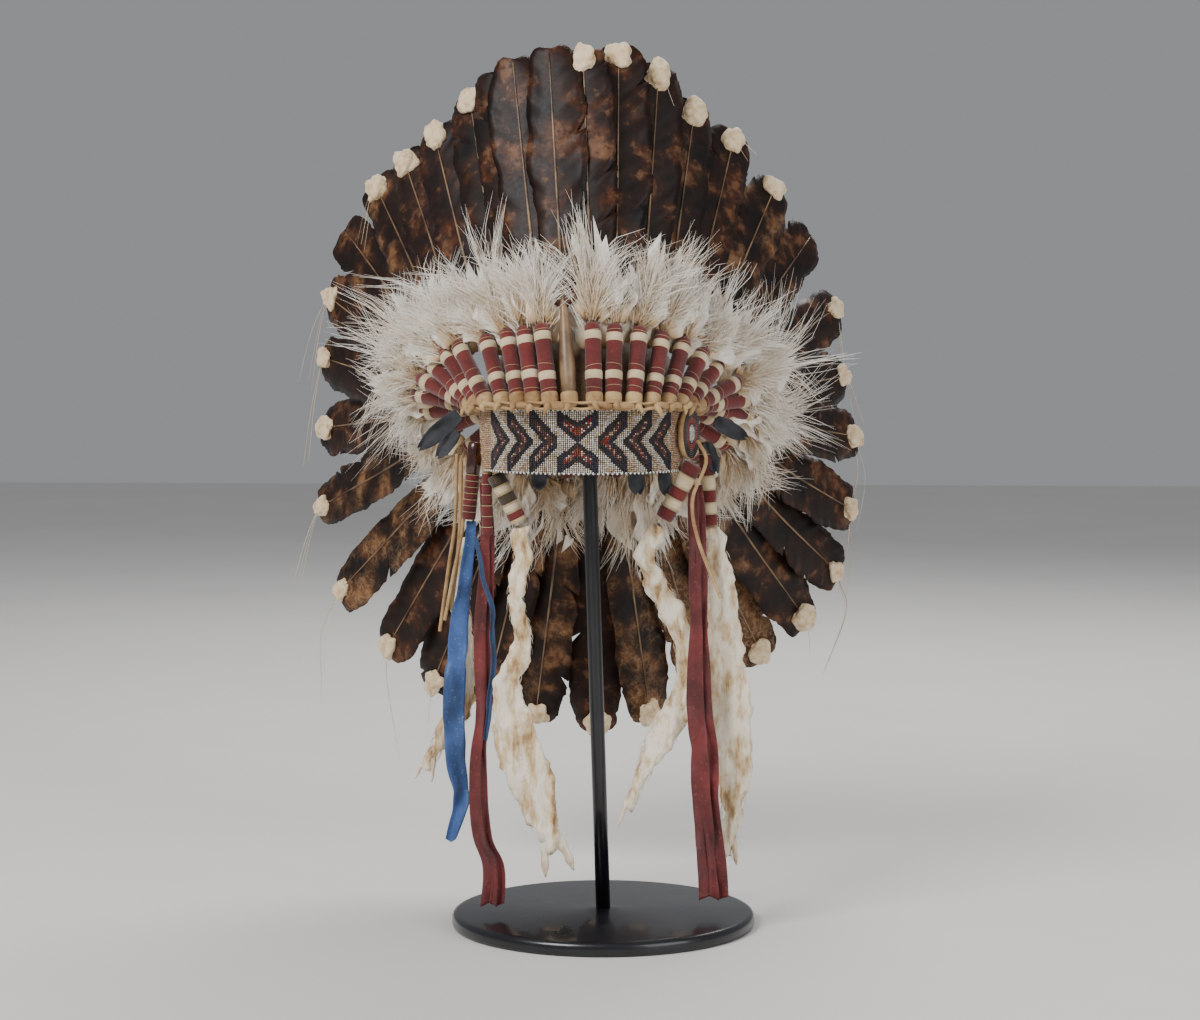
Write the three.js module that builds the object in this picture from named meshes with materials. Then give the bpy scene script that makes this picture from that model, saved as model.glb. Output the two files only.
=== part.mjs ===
// A Plains feather headdress on a plain display stand, in millimetres, +Z up, with its front facing -Y.
// The origin is the centre of the stand's base on the floor. Everything that is worn is laid out about
// the head centre, level with the brow band's top edge, and then set on the stand.
import * as THREE from 'three';

// ---- driving dimensions ----
const BROW_HEIGHT = 430; // brow band's top edge above the floor
const HEAD_OFFSET = { x: -15, y: 0 }; // head centre from the stand's centre
const HEAD = { halfWidth: 82, halfLength: 96, crown: 72, rim: -50 }; // outside of the cap
const FELT = 2; // cap wall
const GAP = 0.4; // clearance between neighbouring pieces

const STAND = { baseRadius: 125, baseHeight: 12, postRadius: 6, restRadius: 26, restHeight: 10 };
const BAND = { height: 51, wall: 2.2, standOff: 2.4, topAngle: 76, bottomAngle: 66, steps: 24 };
const BACKING = {
  wall: 1.2, standOff: 0.5, fromAngle: -92, toAngle: -20, slant: 12, top: -2, bottom: -47, steps: 12,
};
const ROSETTE = { radius: 20, thickness: 4, angle: 70, reach: 9, height: -22 };

// The ring on which the feathers are laced stands just outside the cap and drops a little to the back.
const LACING = { halfWidth: 90, halfLength: 103, front: 9, drop: 18 };
const WRAP = { radius: 6.4, length: 60 };
const QUILL = 2.4;
const VANE = { start: 72, thickness: 2, roll: 20, bow: 5 };
const PAD = { length: 22, halfWidth: 9.5, halfThickness: 5.2 };
const DOWN = { start: 63, notch: 118, lock: 160, offset: 13, root: 5, edge: 2, steps: 4 };

// One row a feather, clockwise as seen from the front, from the feather at the bottom.
// ring: degrees round the lacing from the front; fan: degrees of lean from upright, to +X;
// sweep: degrees of backward lean; length: from the lacing to the middle of the tip pad; width: of the vane.
const FEATHERS = [
  { name: 'back_centre', ring: -180, fan: -180, sweep: 18, length: 300, width: 44 },
  { name: 'back_left_1', ring: -170, fan: -172, sweep: 17, length: 290, width: 46 },
  { name: 'back_left_2', ring: -161, fan: -165, sweep: 18, length: 285, width: 46 },
  { name: 'back_left_3', ring: -152, fan: -157, sweep: 20, length: 288, width: 46 },
  { name: 'back_left_4', ring: -143, fan: -148, sweep: 25, length: 285, width: 46 },
  { name: 'back_left_5', ring: -133, fan: -135, sweep: 32, length: 285, width: 46 },
  { name: 'left_11', ring: -123, fan: -118, sweep: 42, length: 278, width: 46 },
  { name: 'left_10', ring: -111.5, fan: -99, sweep: 50, length: 270, width: 46 },
  { name: 'left_9', ring: -99.5, fan: -78, sweep: 51, length: 265, width: 46 },
  { name: 'left_8', ring: -87.5, fan: -60, sweep: 48, length: 262, width: 46 },
  { name: 'left_7', ring: -76, fan: -43, sweep: 42, length: 262, width: 48 },
  { name: 'left_6', ring: -65, fan: -31, sweep: 37, length: 262, width: 46 },
  { name: 'left_5', ring: -54, fan: -24, sweep: 34, length: 262, width: 44 },
  { name: 'left_4', ring: -43, fan: -18, sweep: 30, length: 264, width: 46 },
  { name: 'left_3', ring: -32, fan: -12, sweep: 25, length: 275, width: 46 },
  { name: 'left_2', ring: -23, fan: -9.5, sweep: 20.5, length: 280, width: 46 },
  { name: 'left_1', ring: -14, fan: -8, sweep: 17, length: 282, width: 44 },
  { name: 'centre', ring: -4, fan: -4.5, sweep: 15, length: 285, width: 44 },
  { name: 'right_1', ring: 8.5, fan: -2.5, sweep: 15, length: 282, width: 44 },
  { name: 'right_2', ring: 18, fan: 0.5, sweep: 17.5, length: 290, width: 46 },
  { name: 'right_3', ring: 29, fan: 4, sweep: 22, length: 285, width: 44 },
  { name: 'right_4', ring: 40, fan: 8, sweep: 28, length: 270, width: 44 },
  { name: 'right_5', ring: 51, fan: 14, sweep: 34, length: 268, width: 46 },
  { name: 'right_6', ring: 62, fan: 24, sweep: 42, length: 262, width: 46 },
  { name: 'right_7', ring: 73.5, fan: 37, sweep: 49, length: 262, width: 46 },
  { name: 'right_8', ring: 85.5, fan: 58, sweep: 56, length: 262, width: 44 },
  { name: 'right_9', ring: 98, fan: 82, sweep: 59, length: 262, width: 46 },
  { name: 'right_10', ring: 110.5, fan: 103, sweep: 55, length: 265, width: 46 },
  { name: 'right_11', ring: 122, fan: 123, sweep: 48, length: 272, width: 48 },
  { name: 'right_12', ring: 132.5, fan: 136, sweep: 40, length: 280, width: 48 },
  { name: 'back_right_4', ring: 142.5, fan: 146, sweep: 34, length: 285, width: 46 },
  { name: 'back_right_3', ring: 152.5, fan: 155, sweep: 30, length: 288, width: 46 },
  { name: 'back_right_2', ring: 162, fan: 165, sweep: 24, length: 286, width: 46 },
  { name: 'back_right_1', ring: 171.5, fan: 173, sweep: 18, length: 290, width: 44 },
];

// Sectors of down plumes, each from one feather to another, counted along FEATHERS.
const DOWN_SECTORS = [
  { name: 'down_left', from: 4, to: 10 },
  { name: 'down_top_left', from: 11, to: 17 },
  { name: 'down_top_right', from: 18, to: 23 },
  { name: 'down_right', from: 24, to: 30 },
  { name: 'down_back', from: 31, to: 37 },
];

// Wrapped rods that hang from the temples: straight, from one end to the other.
const RODS = [
  { name: 'rod_left_amber', colour: 0x6e2418, radius: 5.6, from: [-88, -20, -30], to: [-94, -20, -93] },
  { name: 'rod_left_banded', colour: 0x5a2a20, radius: 7, from: [-70, -44, -55], to: [-51, -42, -93] },
  { name: 'rod_right_banded', colour: 0x772b28, radius: 7.4, from: [90, -46, -46], to: [66, -44, -90] },
  { name: 'rod_right_outer', colour: 0x772b28, radius: 6, from: [99, -12, -30], to: [103, -12, -98] },
];

// Hanging strips of skin, cloth and satin: x, y and z of the middle of each section, its width, and how
// far it is turned out of the front plane, in degrees.
const STRIPS = [
  { name: 'ermine_left_front', colour: 0xead6b8, thickness: 3, rows: [
    { x: -50, y: -42, z: -98, width: 12, turn: 0 },
    { x: -49, y: -42, z: -124, width: 15, turn: 20 },
    { x: -54, y: -41, z: -157, width: 12, turn: -25 },
    { x: -48, y: -40, z: -190, width: 17, turn: 10 },
    { x: -61, y: -40, z: -230, width: 22, turn: -15 },
    { x: -53, y: -40, z: -271, width: 30, turn: 10 },
    { x: -37, y: -40, z: -315, width: 30, turn: 0 },
    { x: -24, y: -40, z: -352, width: 22, turn: 0 },
    { x: -22, y: -40, z: -362, width: 10, turn: 0 },
  ] },
  { name: 'ermine_left_back', colour: 0xe6d0b0, thickness: 3, rows: [
    { x: -97, y: -2, z: -110, width: 9, turn: 0 },
    { x: -102, y: -2, z: -162, width: 13, turn: 15 },
    { x: -101, y: -2, z: -215, width: 18, turn: -10 },
    { x: -106, y: -2, z: -255, width: 22, turn: 10 },
    { x: -121, y: -2, z: -280, width: 16, turn: 0 },
    { x: -131, y: -2, z: -302, width: 6, turn: 0 },
  ] },
  { name: 'ermine_right_inner', colour: 0xead6b8, thickness: 3, rows: [
    { x: 63, y: -44, z: -96, width: 13, turn: 0 },
    { x: 51, y: -34, z: -124, width: 18, turn: 15 },
    { x: 66, y: -16, z: -158, width: 20, turn: -15 },
    { x: 84, y: -12, z: -200, width: 20, turn: 10 },
    { x: 84, y: -12, z: -236, width: 24, turn: 0 },
    { x: 60, y: -14, z: -276, width: 26, turn: -10 },
    { x: 42, y: -15, z: -318, width: 14, turn: 0 },
    { x: 36, y: -15, z: -332, width: 5, turn: 0 },
  ] },
  { name: 'ermine_right_outer', colour: 0xefe0c8, thickness: 3, rows: [
    { x: 103, y: -8, z: -99, width: 13, turn: 0 },
    { x: 110, y: -2, z: -130, width: 22, turn: 15 },
    { x: 114, y: 2, z: -185, width: 28, turn: -10 },
    { x: 119, y: 2, z: -240, width: 34, turn: 10 },
    { x: 123, y: 2, z: -300, width: 32, turn: 0 },
    { x: 121, y: 2, z: -340, width: 20, turn: -10 },
    { x: 117, y: 2, z: -372, width: 8, turn: 0 },
  ] },
  { name: 'ribbon_left_red', colour: 0x73302e, thickness: 3, rows: [
    { x: -79, y: -34, z: -62, width: 10, turn: 0 },
    { x: -77, y: -34, z: -109, width: 12, turn: 10 },
    { x: -80, y: -34, z: -174, width: 15, turn: -15 },
    { x: -81, y: -34, z: -240, width: 16, turn: 10 },
    { x: -85, y: -34, z: -300, width: 14, turn: -20 },
    { x: -82, y: -34, z: -350, width: 15, turn: 10 },
    { x: -74, y: -34, z: -375, width: 17, turn: 0 },
    { x: -74, y: -34, z: -408, width: 21, turn: 0 },
  ] },
  { name: 'ribbon_left_blue', colour: 0x4664aa, thickness: 1.5, rows: [
    { x: -92, y: -20, z: -94.5, width: 8, turn: 0 },
    { x: -98, y: -20, z: -150, width: 11, turn: 15 },
    { x: -104, y: -20, z: -200, width: 16, turn: -10 },
    { x: -107, y: -20, z: -245, width: 18, turn: 10 },
    { x: -105, y: -20, z: -291, width: 18, turn: -10 },
    { x: -100, y: -20, z: -326, width: 15, turn: 20 },
    { x: -110, y: -20, z: -358, width: 9, turn: 0 },
  ] },
  { name: 'ribbon_right_red', colour: 0x73302e, thickness: 3, rows: [
    { x: 91, y: -26, z: -64, width: 12, turn: 0 },
    { x: 93, y: -26, z: -110, width: 15, turn: 10 },
    { x: 94, y: -27, z: -170, width: 16, turn: -15 },
    { x: 95, y: -27, z: -240, width: 22, turn: 10 },
    { x: 99, y: -27, z: -300, width: 24, turn: -10 },
    { x: 103, y: -27, z: -350, width: 24, turn: 10 },
    { x: 107, y: -27, z: -402, width: 26, turn: 0 },
  ] },
];

// Buckskin thongs, free to swing, as the points of their middle line.
const THONG_RADIUS = 1.5;
const THONGS = [
  { name: 'thong_left', points: [
    { x: -104, y: -12, z: -40 }, { x: -106, y: -10, z: -95 }, { x: -111, y: -10, z: -130 },
    { x: -119, y: -10, z: -186 },
  ] },
  { name: 'thong_right', points: [
    { x: 93, y: -49, z: -27 }, { x: 100, y: -48, z: -44 }, { x: 89, y: -47, z: -75 },
    { x: 94, y: -46, z: -108 }, { x: 112, y: -44, z: -154 },
  ] },
];

// Leaf-shaped tabs of dark hide behind the temples.
const TABS = [
  { name: 'tab_left', from: [-103, 0, -8], to: [-139, 12, -38], width: 15 },
  { name: 'tab_right', from: [106, 0, -13], to: [133, 10, -28], width: 13 },
];

const COLOURS = {
  feather: 0x2c1509, down: 0xf0e6d8, felt: 0x6b4a2c, beads: 0xd9c8b4, hide: 0xa58250, hideDark: 0x28292d,
  rosette: 0x23233c, stand: 0x0c0d10,
};

// ---- helpers ----
const SIDES = 8;
const vector = (list) => new THREE.Vector3(...list);
const radians = THREE.MathUtils.degToRad;

function named(name, geometry, colour, roughness) {
  const material = new THREE.MeshStandardMaterial({ color: colour, roughness, metalness: 0 });
  const mesh = new THREE.Mesh(geometry, material);
  mesh.name = name;
  return mesh;
}

// A closed body from triangles, with its faces turned out.
function body(points, triangles) {
  let volume = 0;
  for (const [a, b, c] of triangles) {
    volume += points[a].dot(new THREE.Vector3().crossVectors(points[b], points[c]));
  }
  const geometry = new THREE.BufferGeometry().setFromPoints(points);
  geometry.setIndex(triangles.map(([a, b, c]) => (volume > 0 ? [a, b, c] : [a, c, b])).flat());
  return geometry;
}

// A body through rings of points that all have the same count, closed by a flat fan at each end.
function loft(rings) {
  const count = rings[0].length;
  const triangles = [];
  for (let i = 0; i + 1 < rings.length; i += 1) {
    for (let k = 0; k < count; k += 1) {
      const next = (k + 1) % count;
      const [a, b] = [i * count + k, i * count + next];
      triangles.push([a, b, b + count], [a, b + count, a + count]);
    }
  }
  const last = (rings.length - 1) * count;
  for (let k = 1; k + 1 < count; k += 1) {
    triangles.push([0, k + 1, k], [last, last + k, last + k + 1]);
  }
  return body(rings.flat(), triangles);
}

// An eight-sided section about a centre, stretched along two directions.
function section(centre, across, through, halfWidth, halfThickness) {
  return Array.from({ length: SIDES }, (_, k) => {
    const angle = ((k + 0.5) * 2 * Math.PI) / SIDES;
    const rim = Math.cos(Math.PI / SIDES);
    return centre.clone()
      .addScaledVector(across, (halfWidth * Math.cos(angle)) / rim)
      .addScaledVector(through, (halfThickness * Math.sin(angle)) / rim);
  });
}

// A place on an ellipse round the head, and the direction that looks out from it.
function aroundHead(degrees, standOff, z) {
  const angle = radians(degrees);
  const [a, b] = [HEAD.halfWidth, HEAD.halfLength];
  const out = new THREE.Vector3(Math.sin(angle) / a, -Math.cos(angle) / b, 0).normalize();
  const place = new THREE.Vector3(a * Math.sin(angle), -b * Math.cos(angle), z);
  return { place: place.addScaledVector(out, standOff), out };
}

// ---- feathers ----
// Where a feather starts, the way it points, and the directions across and through its vane.
function stem(row) {
  const angle = radians(row.ring);
  const y = -LACING.halfLength * Math.cos(angle);
  const fall = (LACING.drop * (y + LACING.halfLength)) / (2 * LACING.halfLength);
  const start = new THREE.Vector3(LACING.halfWidth * Math.sin(angle), y, LACING.front - fall);
  const [fan, sweep] = [radians(row.fan), radians(row.sweep)];
  const along = new THREE.Vector3(
    Math.cos(sweep) * Math.sin(fan),
    Math.sin(sweep),
    Math.cos(sweep) * Math.cos(fan),
  );
  return { start, along };
}

const MID_VANE = 170; // where the spread of neighbouring feathers sets the vanes' planes

function frames() {
  const stems = FEATHERS.map(stem);
  const middles = stems.map(({ start, along }) => start.clone().addScaledVector(along, MID_VANE));
  return stems.map(({ start, along }, i) => {
    const before = middles[(i + stems.length - 1) % stems.length];
    const after = middles[(i + 1) % stems.length];
    const across = after.clone().sub(before);
    across.addScaledVector(along, -across.dot(along)).normalize();
    const facing = new THREE.Vector3().crossVectors(across, along).normalize();
    return { start, along, across, facing };
  });
}

const FRAMES = frames();

function feather(row, frame) {
  const middle = Math.abs(row.ring) < 6 || Math.abs(row.ring) > 175;
  const roll = middle ? 0 : Math.sign(row.ring) * radians(VANE.roll);
  const turned = (first, second, angle) => first.clone().multiplyScalar(Math.cos(angle))
    .addScaledVector(second, Math.sin(angle));
  const across = turned(frame.across, frame.facing, roll);
  const facing = turned(frame.facing, frame.across, -roll);
  const end = row.length + PAD.length / 2;
  const tip = end - PAD.length;
  const [wide, thin] = [row.width / 2, VANE.thickness / 2];
  const profile = [
    { at: 0, halfWidth: 4.6, halfThickness: 4.6 },
    { at: 4, halfWidth: WRAP.radius, halfThickness: WRAP.radius },
    { at: WRAP.length - 3, halfWidth: WRAP.radius, halfThickness: WRAP.radius },
    { at: WRAP.length, halfWidth: QUILL + 1, halfThickness: QUILL + 1 },
    { at: VANE.start, halfWidth: 0.3 * wide, halfThickness: QUILL * 0.7 },
    { at: VANE.start + 32, halfWidth: 0.7 * wide, halfThickness: 1.3 * thin },
    { at: 0.62 * tip, halfWidth: wide, halfThickness: thin },
    { at: 0.9 * tip, halfWidth: 0.8 * wide, halfThickness: thin },
    { at: tip, halfWidth: 0.24 * wide, halfThickness: thin },
    { at: tip + 3, halfWidth: 0.85 * PAD.halfWidth, halfThickness: 0.85 * PAD.halfThickness },
    { at: end - 6, halfWidth: PAD.halfWidth, halfThickness: PAD.halfThickness },
    { at: end, halfWidth: 0.5 * PAD.halfWidth, halfThickness: 0.5 * PAD.halfThickness },
  ];
  const rings = profile.map(({ at, halfWidth, halfThickness }) => {
    const centre = frame.start.clone().addScaledVector(frame.along, at);
    centre.addScaledVector(frame.facing, -VANE.bow * (at / end) ** 2);
    return section(centre, across, facing, halfWidth, halfThickness);
  });
  return loft(rings);
}

// ---- down plumes ----
// The frame between two feathers, by a place counted along FEATHERS that may run past its end.
function frameAt(place) {
  const low = Math.floor(place);
  const share = place - low;
  const [a, b] = [FRAMES[low % FRAMES.length], FRAMES[(low + 1) % FRAMES.length]];
  const mixed = (key) => a[key].clone().lerp(b[key], share);
  return { start: mixed('start'), along: mixed('along').normalize(), facing: mixed('facing').normalize() };
}

// A wall of plumes in front of the vanes, with one lock to a feather and a notch between locks.
function down(sector) {
  const perFeather = DOWN.steps;
  const columns = (sector.to - sector.from + 1) * perFeather - 1;
  const half = (perFeather - 1) / (2 * perFeather);
  const front = [];
  const back = [];
  for (let i = 0; i < columns + 1; i += 1) {
    const place = sector.from - half + i / perFeather;
    const frame = frameAt(place);
    const fromLock = Math.abs(place - Math.round(place)) * 2;
    const reach = DOWN.lock - (DOWN.lock - DOWN.notch) * fromLock;
    const rows = [0, 0.3, 0.65, 1];
    const point = (share, side) => {
      const at = DOWN.start + (reach - DOWN.start) * share;
      const wall = DOWN.root + (DOWN.edge - DOWN.root) * share;
      return frame.start.clone().addScaledVector(frame.along, at)
        .addScaledVector(frame.facing, DOWN.offset + (side * wall) / 2);
    };
    front.push(rows.map((share) => point(share, 1)));
    back.push(rows.map((share) => point(share, -1)));
  }
  const rings = front.map((line, i) => [...line, ...back[i].slice().reverse()]);
  return loft(rings);
}

// ---- cap, band, backing and rosette ----
function cap() {
  const dome = [[1, 0], [0.93, 0.36], [0.75, 0.66], [0.42, 0.91], [0, 1]];
  const outer = dome.map(([reach, rise]) => [HEAD.halfWidth * reach, HEAD.crown * rise]);
  const inner = dome.map(([reach, rise]) => [
    (HEAD.halfWidth - FELT) * reach,
    (HEAD.crown - FELT) * rise,
  ]);
  const profile = [
    ...inner.slice().reverse(),
    [HEAD.halfWidth - FELT, HEAD.rim],
    [HEAD.halfWidth, HEAD.rim],
    ...outer,
  ].map(([radius, height]) => new THREE.Vector2(radius, height));
  const geometry = new THREE.LatheGeometry(profile, 24);
  geometry.rotateX(Math.PI / 2);
  geometry.scale(1, HEAD.halfLength / HEAD.halfWidth, 1);
  return geometry;
}

// A strip bent round the head between an upper and a lower edge that may start and end apart.
function strip(options) {
  const { steps, wall, standOff, top, bottom, topFrom, topTo, bottomFrom, bottomTo } = options;
  const rings = [];
  for (let i = 0; i <= steps; i += 1) {
    const upper = topFrom + ((topTo - topFrom) * i) / steps;
    const lower = bottomFrom + ((bottomTo - bottomFrom) * i) / steps;
    rings.push([
      aroundHead(upper, standOff, top).place,
      aroundHead(upper, standOff + wall, top).place,
      aroundHead(lower, standOff + wall, bottom).place,
      aroundHead(lower, standOff, bottom).place,
    ]);
  }
  return loft(rings);
}

function browBand() {
  const { topAngle, bottomAngle, steps, wall, standOff, height } = BAND;
  return strip({
    steps, wall, standOff, top: -1, bottom: -1 - height,
    topFrom: -topAngle, topTo: topAngle, bottomFrom: -bottomAngle, bottomTo: bottomAngle,
  });
}

function backing() {
  const { steps, wall, standOff, top, bottom, fromAngle, toAngle, slant } = BACKING;
  return strip({
    steps, wall, standOff, top, bottom,
    topFrom: fromAngle, topTo: toAngle, bottomFrom: fromAngle + slant, bottomTo: toAngle,
  });
}

function rosette() {
  const disc = new THREE.CylinderGeometry(ROSETTE.radius, ROSETTE.radius, ROSETTE.thickness, 24);
  const { place, out } = aroundHead(ROSETTE.angle, ROSETTE.reach, ROSETTE.height);
  const turn = new THREE.Quaternion().setFromUnitVectors(new THREE.Vector3(0, 1, 0), out);
  disc.applyQuaternion(turn);
  disc.translate(place.x, place.y, place.z);
  return disc;
}

// ---- drops ----
function rod({ from, to, radius }) {
  const [start, end] = [vector(from), vector(to)];
  const along = end.clone().sub(start);
  const length = along.length();
  along.normalize();
  const across = new THREE.Vector3(1, 0, 0).addScaledVector(along, -along.x).normalize();
  const through = new THREE.Vector3().crossVectors(across, along);
  const shrink = [[0, 0.75], [3, 1], [length - 3, 1], [length - GAP, 0.8]];
  return loft(shrink.map(([at, scale]) => {
    const centre = start.clone().addScaledVector(along, at);
    return section(centre, across, through, radius * scale, radius * scale);
  }));
}

function hanging({ rows, thickness }) {
  return loft(rows.map(({ x, y, z, width, turn }) => {
    const angle = radians(turn);
    const across = new THREE.Vector3(Math.cos(angle), Math.sin(angle), 0);
    const through = new THREE.Vector3(-Math.sin(angle), Math.cos(angle), 0);
    return section(new THREE.Vector3(x, y, z), across, through, width / 2, thickness / 2);
  }));
}

function thong({ points }) {
  const path = new THREE.CatmullRomCurve3(points.map(({ x, y, z }) => new THREE.Vector3(x, y, z)));
  const round = new THREE.Shape().absarc(0, 0, THONG_RADIUS, 0, 2 * Math.PI);
  return new THREE.ExtrudeGeometry(round, { steps: 18, curveSegments: SIDES / 2, extrudePath: path });
}

function tab({ from, to, width }) {
  const [start, end] = [vector(from), vector(to)];
  const along = end.clone().sub(start);
  const across = new THREE.Vector3().crossVectors(along, new THREE.Vector3(0, 1, 0)).normalize();
  const through = new THREE.Vector3().crossVectors(across, along).normalize();
  const leaf = [[0, 0.2], [0.25, 0.8], [0.55, 1], [0.85, 0.6], [1, 0.1]];
  return loft(leaf.map(([share, scale]) => {
    const centre = start.clone().addScaledVector(along, share);
    return section(centre, across, through, (width / 2) * scale, 0.75);
  }));
}

// ---- stand ----
// A round base, a slightly leaning post and a domed rest under the crown, in the stand's own place.
function stand() {
  const top = new THREE.Vector3(HEAD_OFFSET.x, 0, BROW_HEIGHT + HEAD.crown - FELT - 6);
  const foot = new THREE.Vector3(0, 0, STAND.baseHeight);
  const segments = 24;
  const ring = (centre, radius) => Array.from({ length: segments }, (_, k) => {
    const angle = (2 * Math.PI * k) / segments;
    return new THREE.Vector3(Math.cos(angle), Math.sin(angle), 0).multiplyScalar(radius).add(centre);
  });
  const low = new THREE.Vector3(0, 0, 0);
  const rest = top.clone();
  rest.z -= STAND.restHeight;
  return loft([
    ring(low, STAND.baseRadius),
    ring(foot.clone().setZ(STAND.baseHeight - 3), STAND.baseRadius),
    ring(foot, STAND.baseRadius - 3),
    ring(foot, STAND.postRadius),
    ring(rest, STAND.postRadius),
    ring(rest.clone().setZ(rest.z + 3), STAND.restRadius),
    ring(top, STAND.restRadius * 0.55),
  ]);
}

// ---- assembly ----
const group = new THREE.Group();
group.add(named('stand', stand(), COLOURS.stand, 0.35));

const worn = new THREE.Group();
worn.position.set(HEAD_OFFSET.x, HEAD_OFFSET.y, BROW_HEIGHT);
worn.add(named('cap', cap(), COLOURS.felt, 0.9));
worn.add(named('hide_backing', backing(), COLOURS.hide, 0.85));
worn.add(named('brow_band', browBand(), COLOURS.beads, 0.4));
worn.add(named('rosette', rosette(), COLOURS.rosette, 0.4));
FEATHERS.forEach((row, i) => {
  worn.add(named(`feather_${row.name}`, feather(row, FRAMES[i]), COLOURS.feather, 0.6));
});
for (const sector of DOWN_SECTORS) {
  worn.add(named(sector.name, down(sector), COLOURS.down, 0.95));
}
for (const row of RODS) {
  worn.add(named(row.name, rod(row), row.colour, 0.85));
}
for (const row of STRIPS) {
  worn.add(named(row.name, hanging(row), row.colour, 0.8));
}
for (const row of THONGS) {
  worn.add(named(row.name, thong(row), COLOURS.hide, 0.85));
}
for (const row of TABS) {
  worn.add(named(row.name, tab(row), COLOURS.hideDark, 0.8));
}
group.add(worn);

export default group;
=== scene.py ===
"""A feathered headdress on a plain display stand: its visual model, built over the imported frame."""

import math
import random

import bmesh
import bpy
import numpy as np
from bpy.props import FloatProperty, FloatVectorProperty, IntProperty, PointerProperty
from mathutils import Matrix, Vector, noise


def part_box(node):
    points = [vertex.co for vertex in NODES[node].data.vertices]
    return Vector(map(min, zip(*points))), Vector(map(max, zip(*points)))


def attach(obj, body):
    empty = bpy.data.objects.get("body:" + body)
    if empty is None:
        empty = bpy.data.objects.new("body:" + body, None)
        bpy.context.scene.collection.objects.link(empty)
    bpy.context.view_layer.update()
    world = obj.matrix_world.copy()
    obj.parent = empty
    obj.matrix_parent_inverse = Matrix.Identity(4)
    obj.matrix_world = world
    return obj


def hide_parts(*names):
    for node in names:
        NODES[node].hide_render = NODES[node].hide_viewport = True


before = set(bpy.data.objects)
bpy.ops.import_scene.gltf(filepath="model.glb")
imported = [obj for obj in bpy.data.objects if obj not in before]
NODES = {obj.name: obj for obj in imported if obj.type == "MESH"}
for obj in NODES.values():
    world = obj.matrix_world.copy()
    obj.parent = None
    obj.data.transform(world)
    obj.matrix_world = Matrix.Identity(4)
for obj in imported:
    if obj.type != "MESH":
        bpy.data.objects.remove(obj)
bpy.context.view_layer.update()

bl_info = {
    "name": "Feathered headdress",
    "version": (1, 0, 0),
    "blender": (4, 5, 0),
    "location": "3D View > Sidebar > Headdress",
    "description": "Feathers, beadwork, skins, ribbons and stand of a feathered headdress",
    "category": "Object",
}

MM = 0.001
CAP_LOW, CAP_HIGH = (Vector(c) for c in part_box("cap"))
HEAD_X = (CAP_HIGH.x - CAP_LOW.x) / 2
HEAD_Y = (CAP_HIGH.y - CAP_LOW.y) / 2
# Middle of the head, level with the brow band's top edge, which is 50 mm above the cap's rim.
BROW = Vector(((CAP_LOW.x + CAP_HIGH.x) / 2, (CAP_LOW.y + CAP_HIGH.y) / 2, CAP_LOW.z + 50 * MM))
FEATHERS = sorted(n for n in NODES if n.startswith("feather_"))
DOWN = [n for n in NODES if n.startswith("down_")]


def srgb(red, green, blue):
    """A colour given from 0 to 255 as the linear one that a shader takes."""
    parts = (c / 255 for c in (red, green, blue))
    return tuple(c / 12.92 if c <= 0.04045 else ((c + 0.055) / 1.055) ** 2.4 for c in parts)


def brow(x, y, z):
    """A point given in millimetres from the middle of the head at the brow band's top edge."""
    return BROW + Vector((x, y, z)) * MM


def round_head(degrees, off, height):
    """The point off the cap's side at an angle from its front, with the way out there; in millimetres."""
    a = math.radians(degrees)
    side = Vector((HEAD_X * math.sin(a), -HEAD_Y * math.cos(a), height * MM))
    out = Vector((math.sin(a) / HEAD_X, -math.cos(a) / HEAD_Y, 0)).normalized()
    return BROW + side + out * off * MM, out


# ---------------------------------------------------------------- shading


class Shade:
    """A shader socket with arithmetic, so that a mask is written as a sum."""

    def __init__(self, finish, out):
        self.finish, self.out = finish, out

    def _math(self, operation, first, second):
        return self.finish.node(
            "ShaderNodeMath", {"operation": operation}, {0: first, 1: second}
        )

    def __add__(self, other):
        return self._math("ADD", self, other)

    def __radd__(self, other):
        return self._math("ADD", other, self)

    def __sub__(self, other):
        return self._math("SUBTRACT", self, other)

    def __rsub__(self, other):
        return self._math("SUBTRACT", other, self)

    def __mul__(self, other):
        return self._math("MULTIPLY", self, other)

    def __rmul__(self, other):
        return self._math("MULTIPLY", other, self)

    def sine(self):
        return self.finish.node("ShaderNodeMath", {"operation": "SINE"}, {0: self})

    def near(self, value, width):
        """1 where the number is a value, down to 0 at some width from it."""
        away = (self - value) * (1.0 / width)
        return 1.0 - (away * away).above(1.0, 0.6)

    def above(self, edge, blur=0.05):
        """0 below an edge and 1 above it, with a soft step between."""
        return self.finish.node(
            "ShaderNodeMapRange",
            {"interpolation_type": "SMOOTHSTEP"},
            {"Value": self, "From Min": edge - blur, "From Max": edge + blur},
        )


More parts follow.
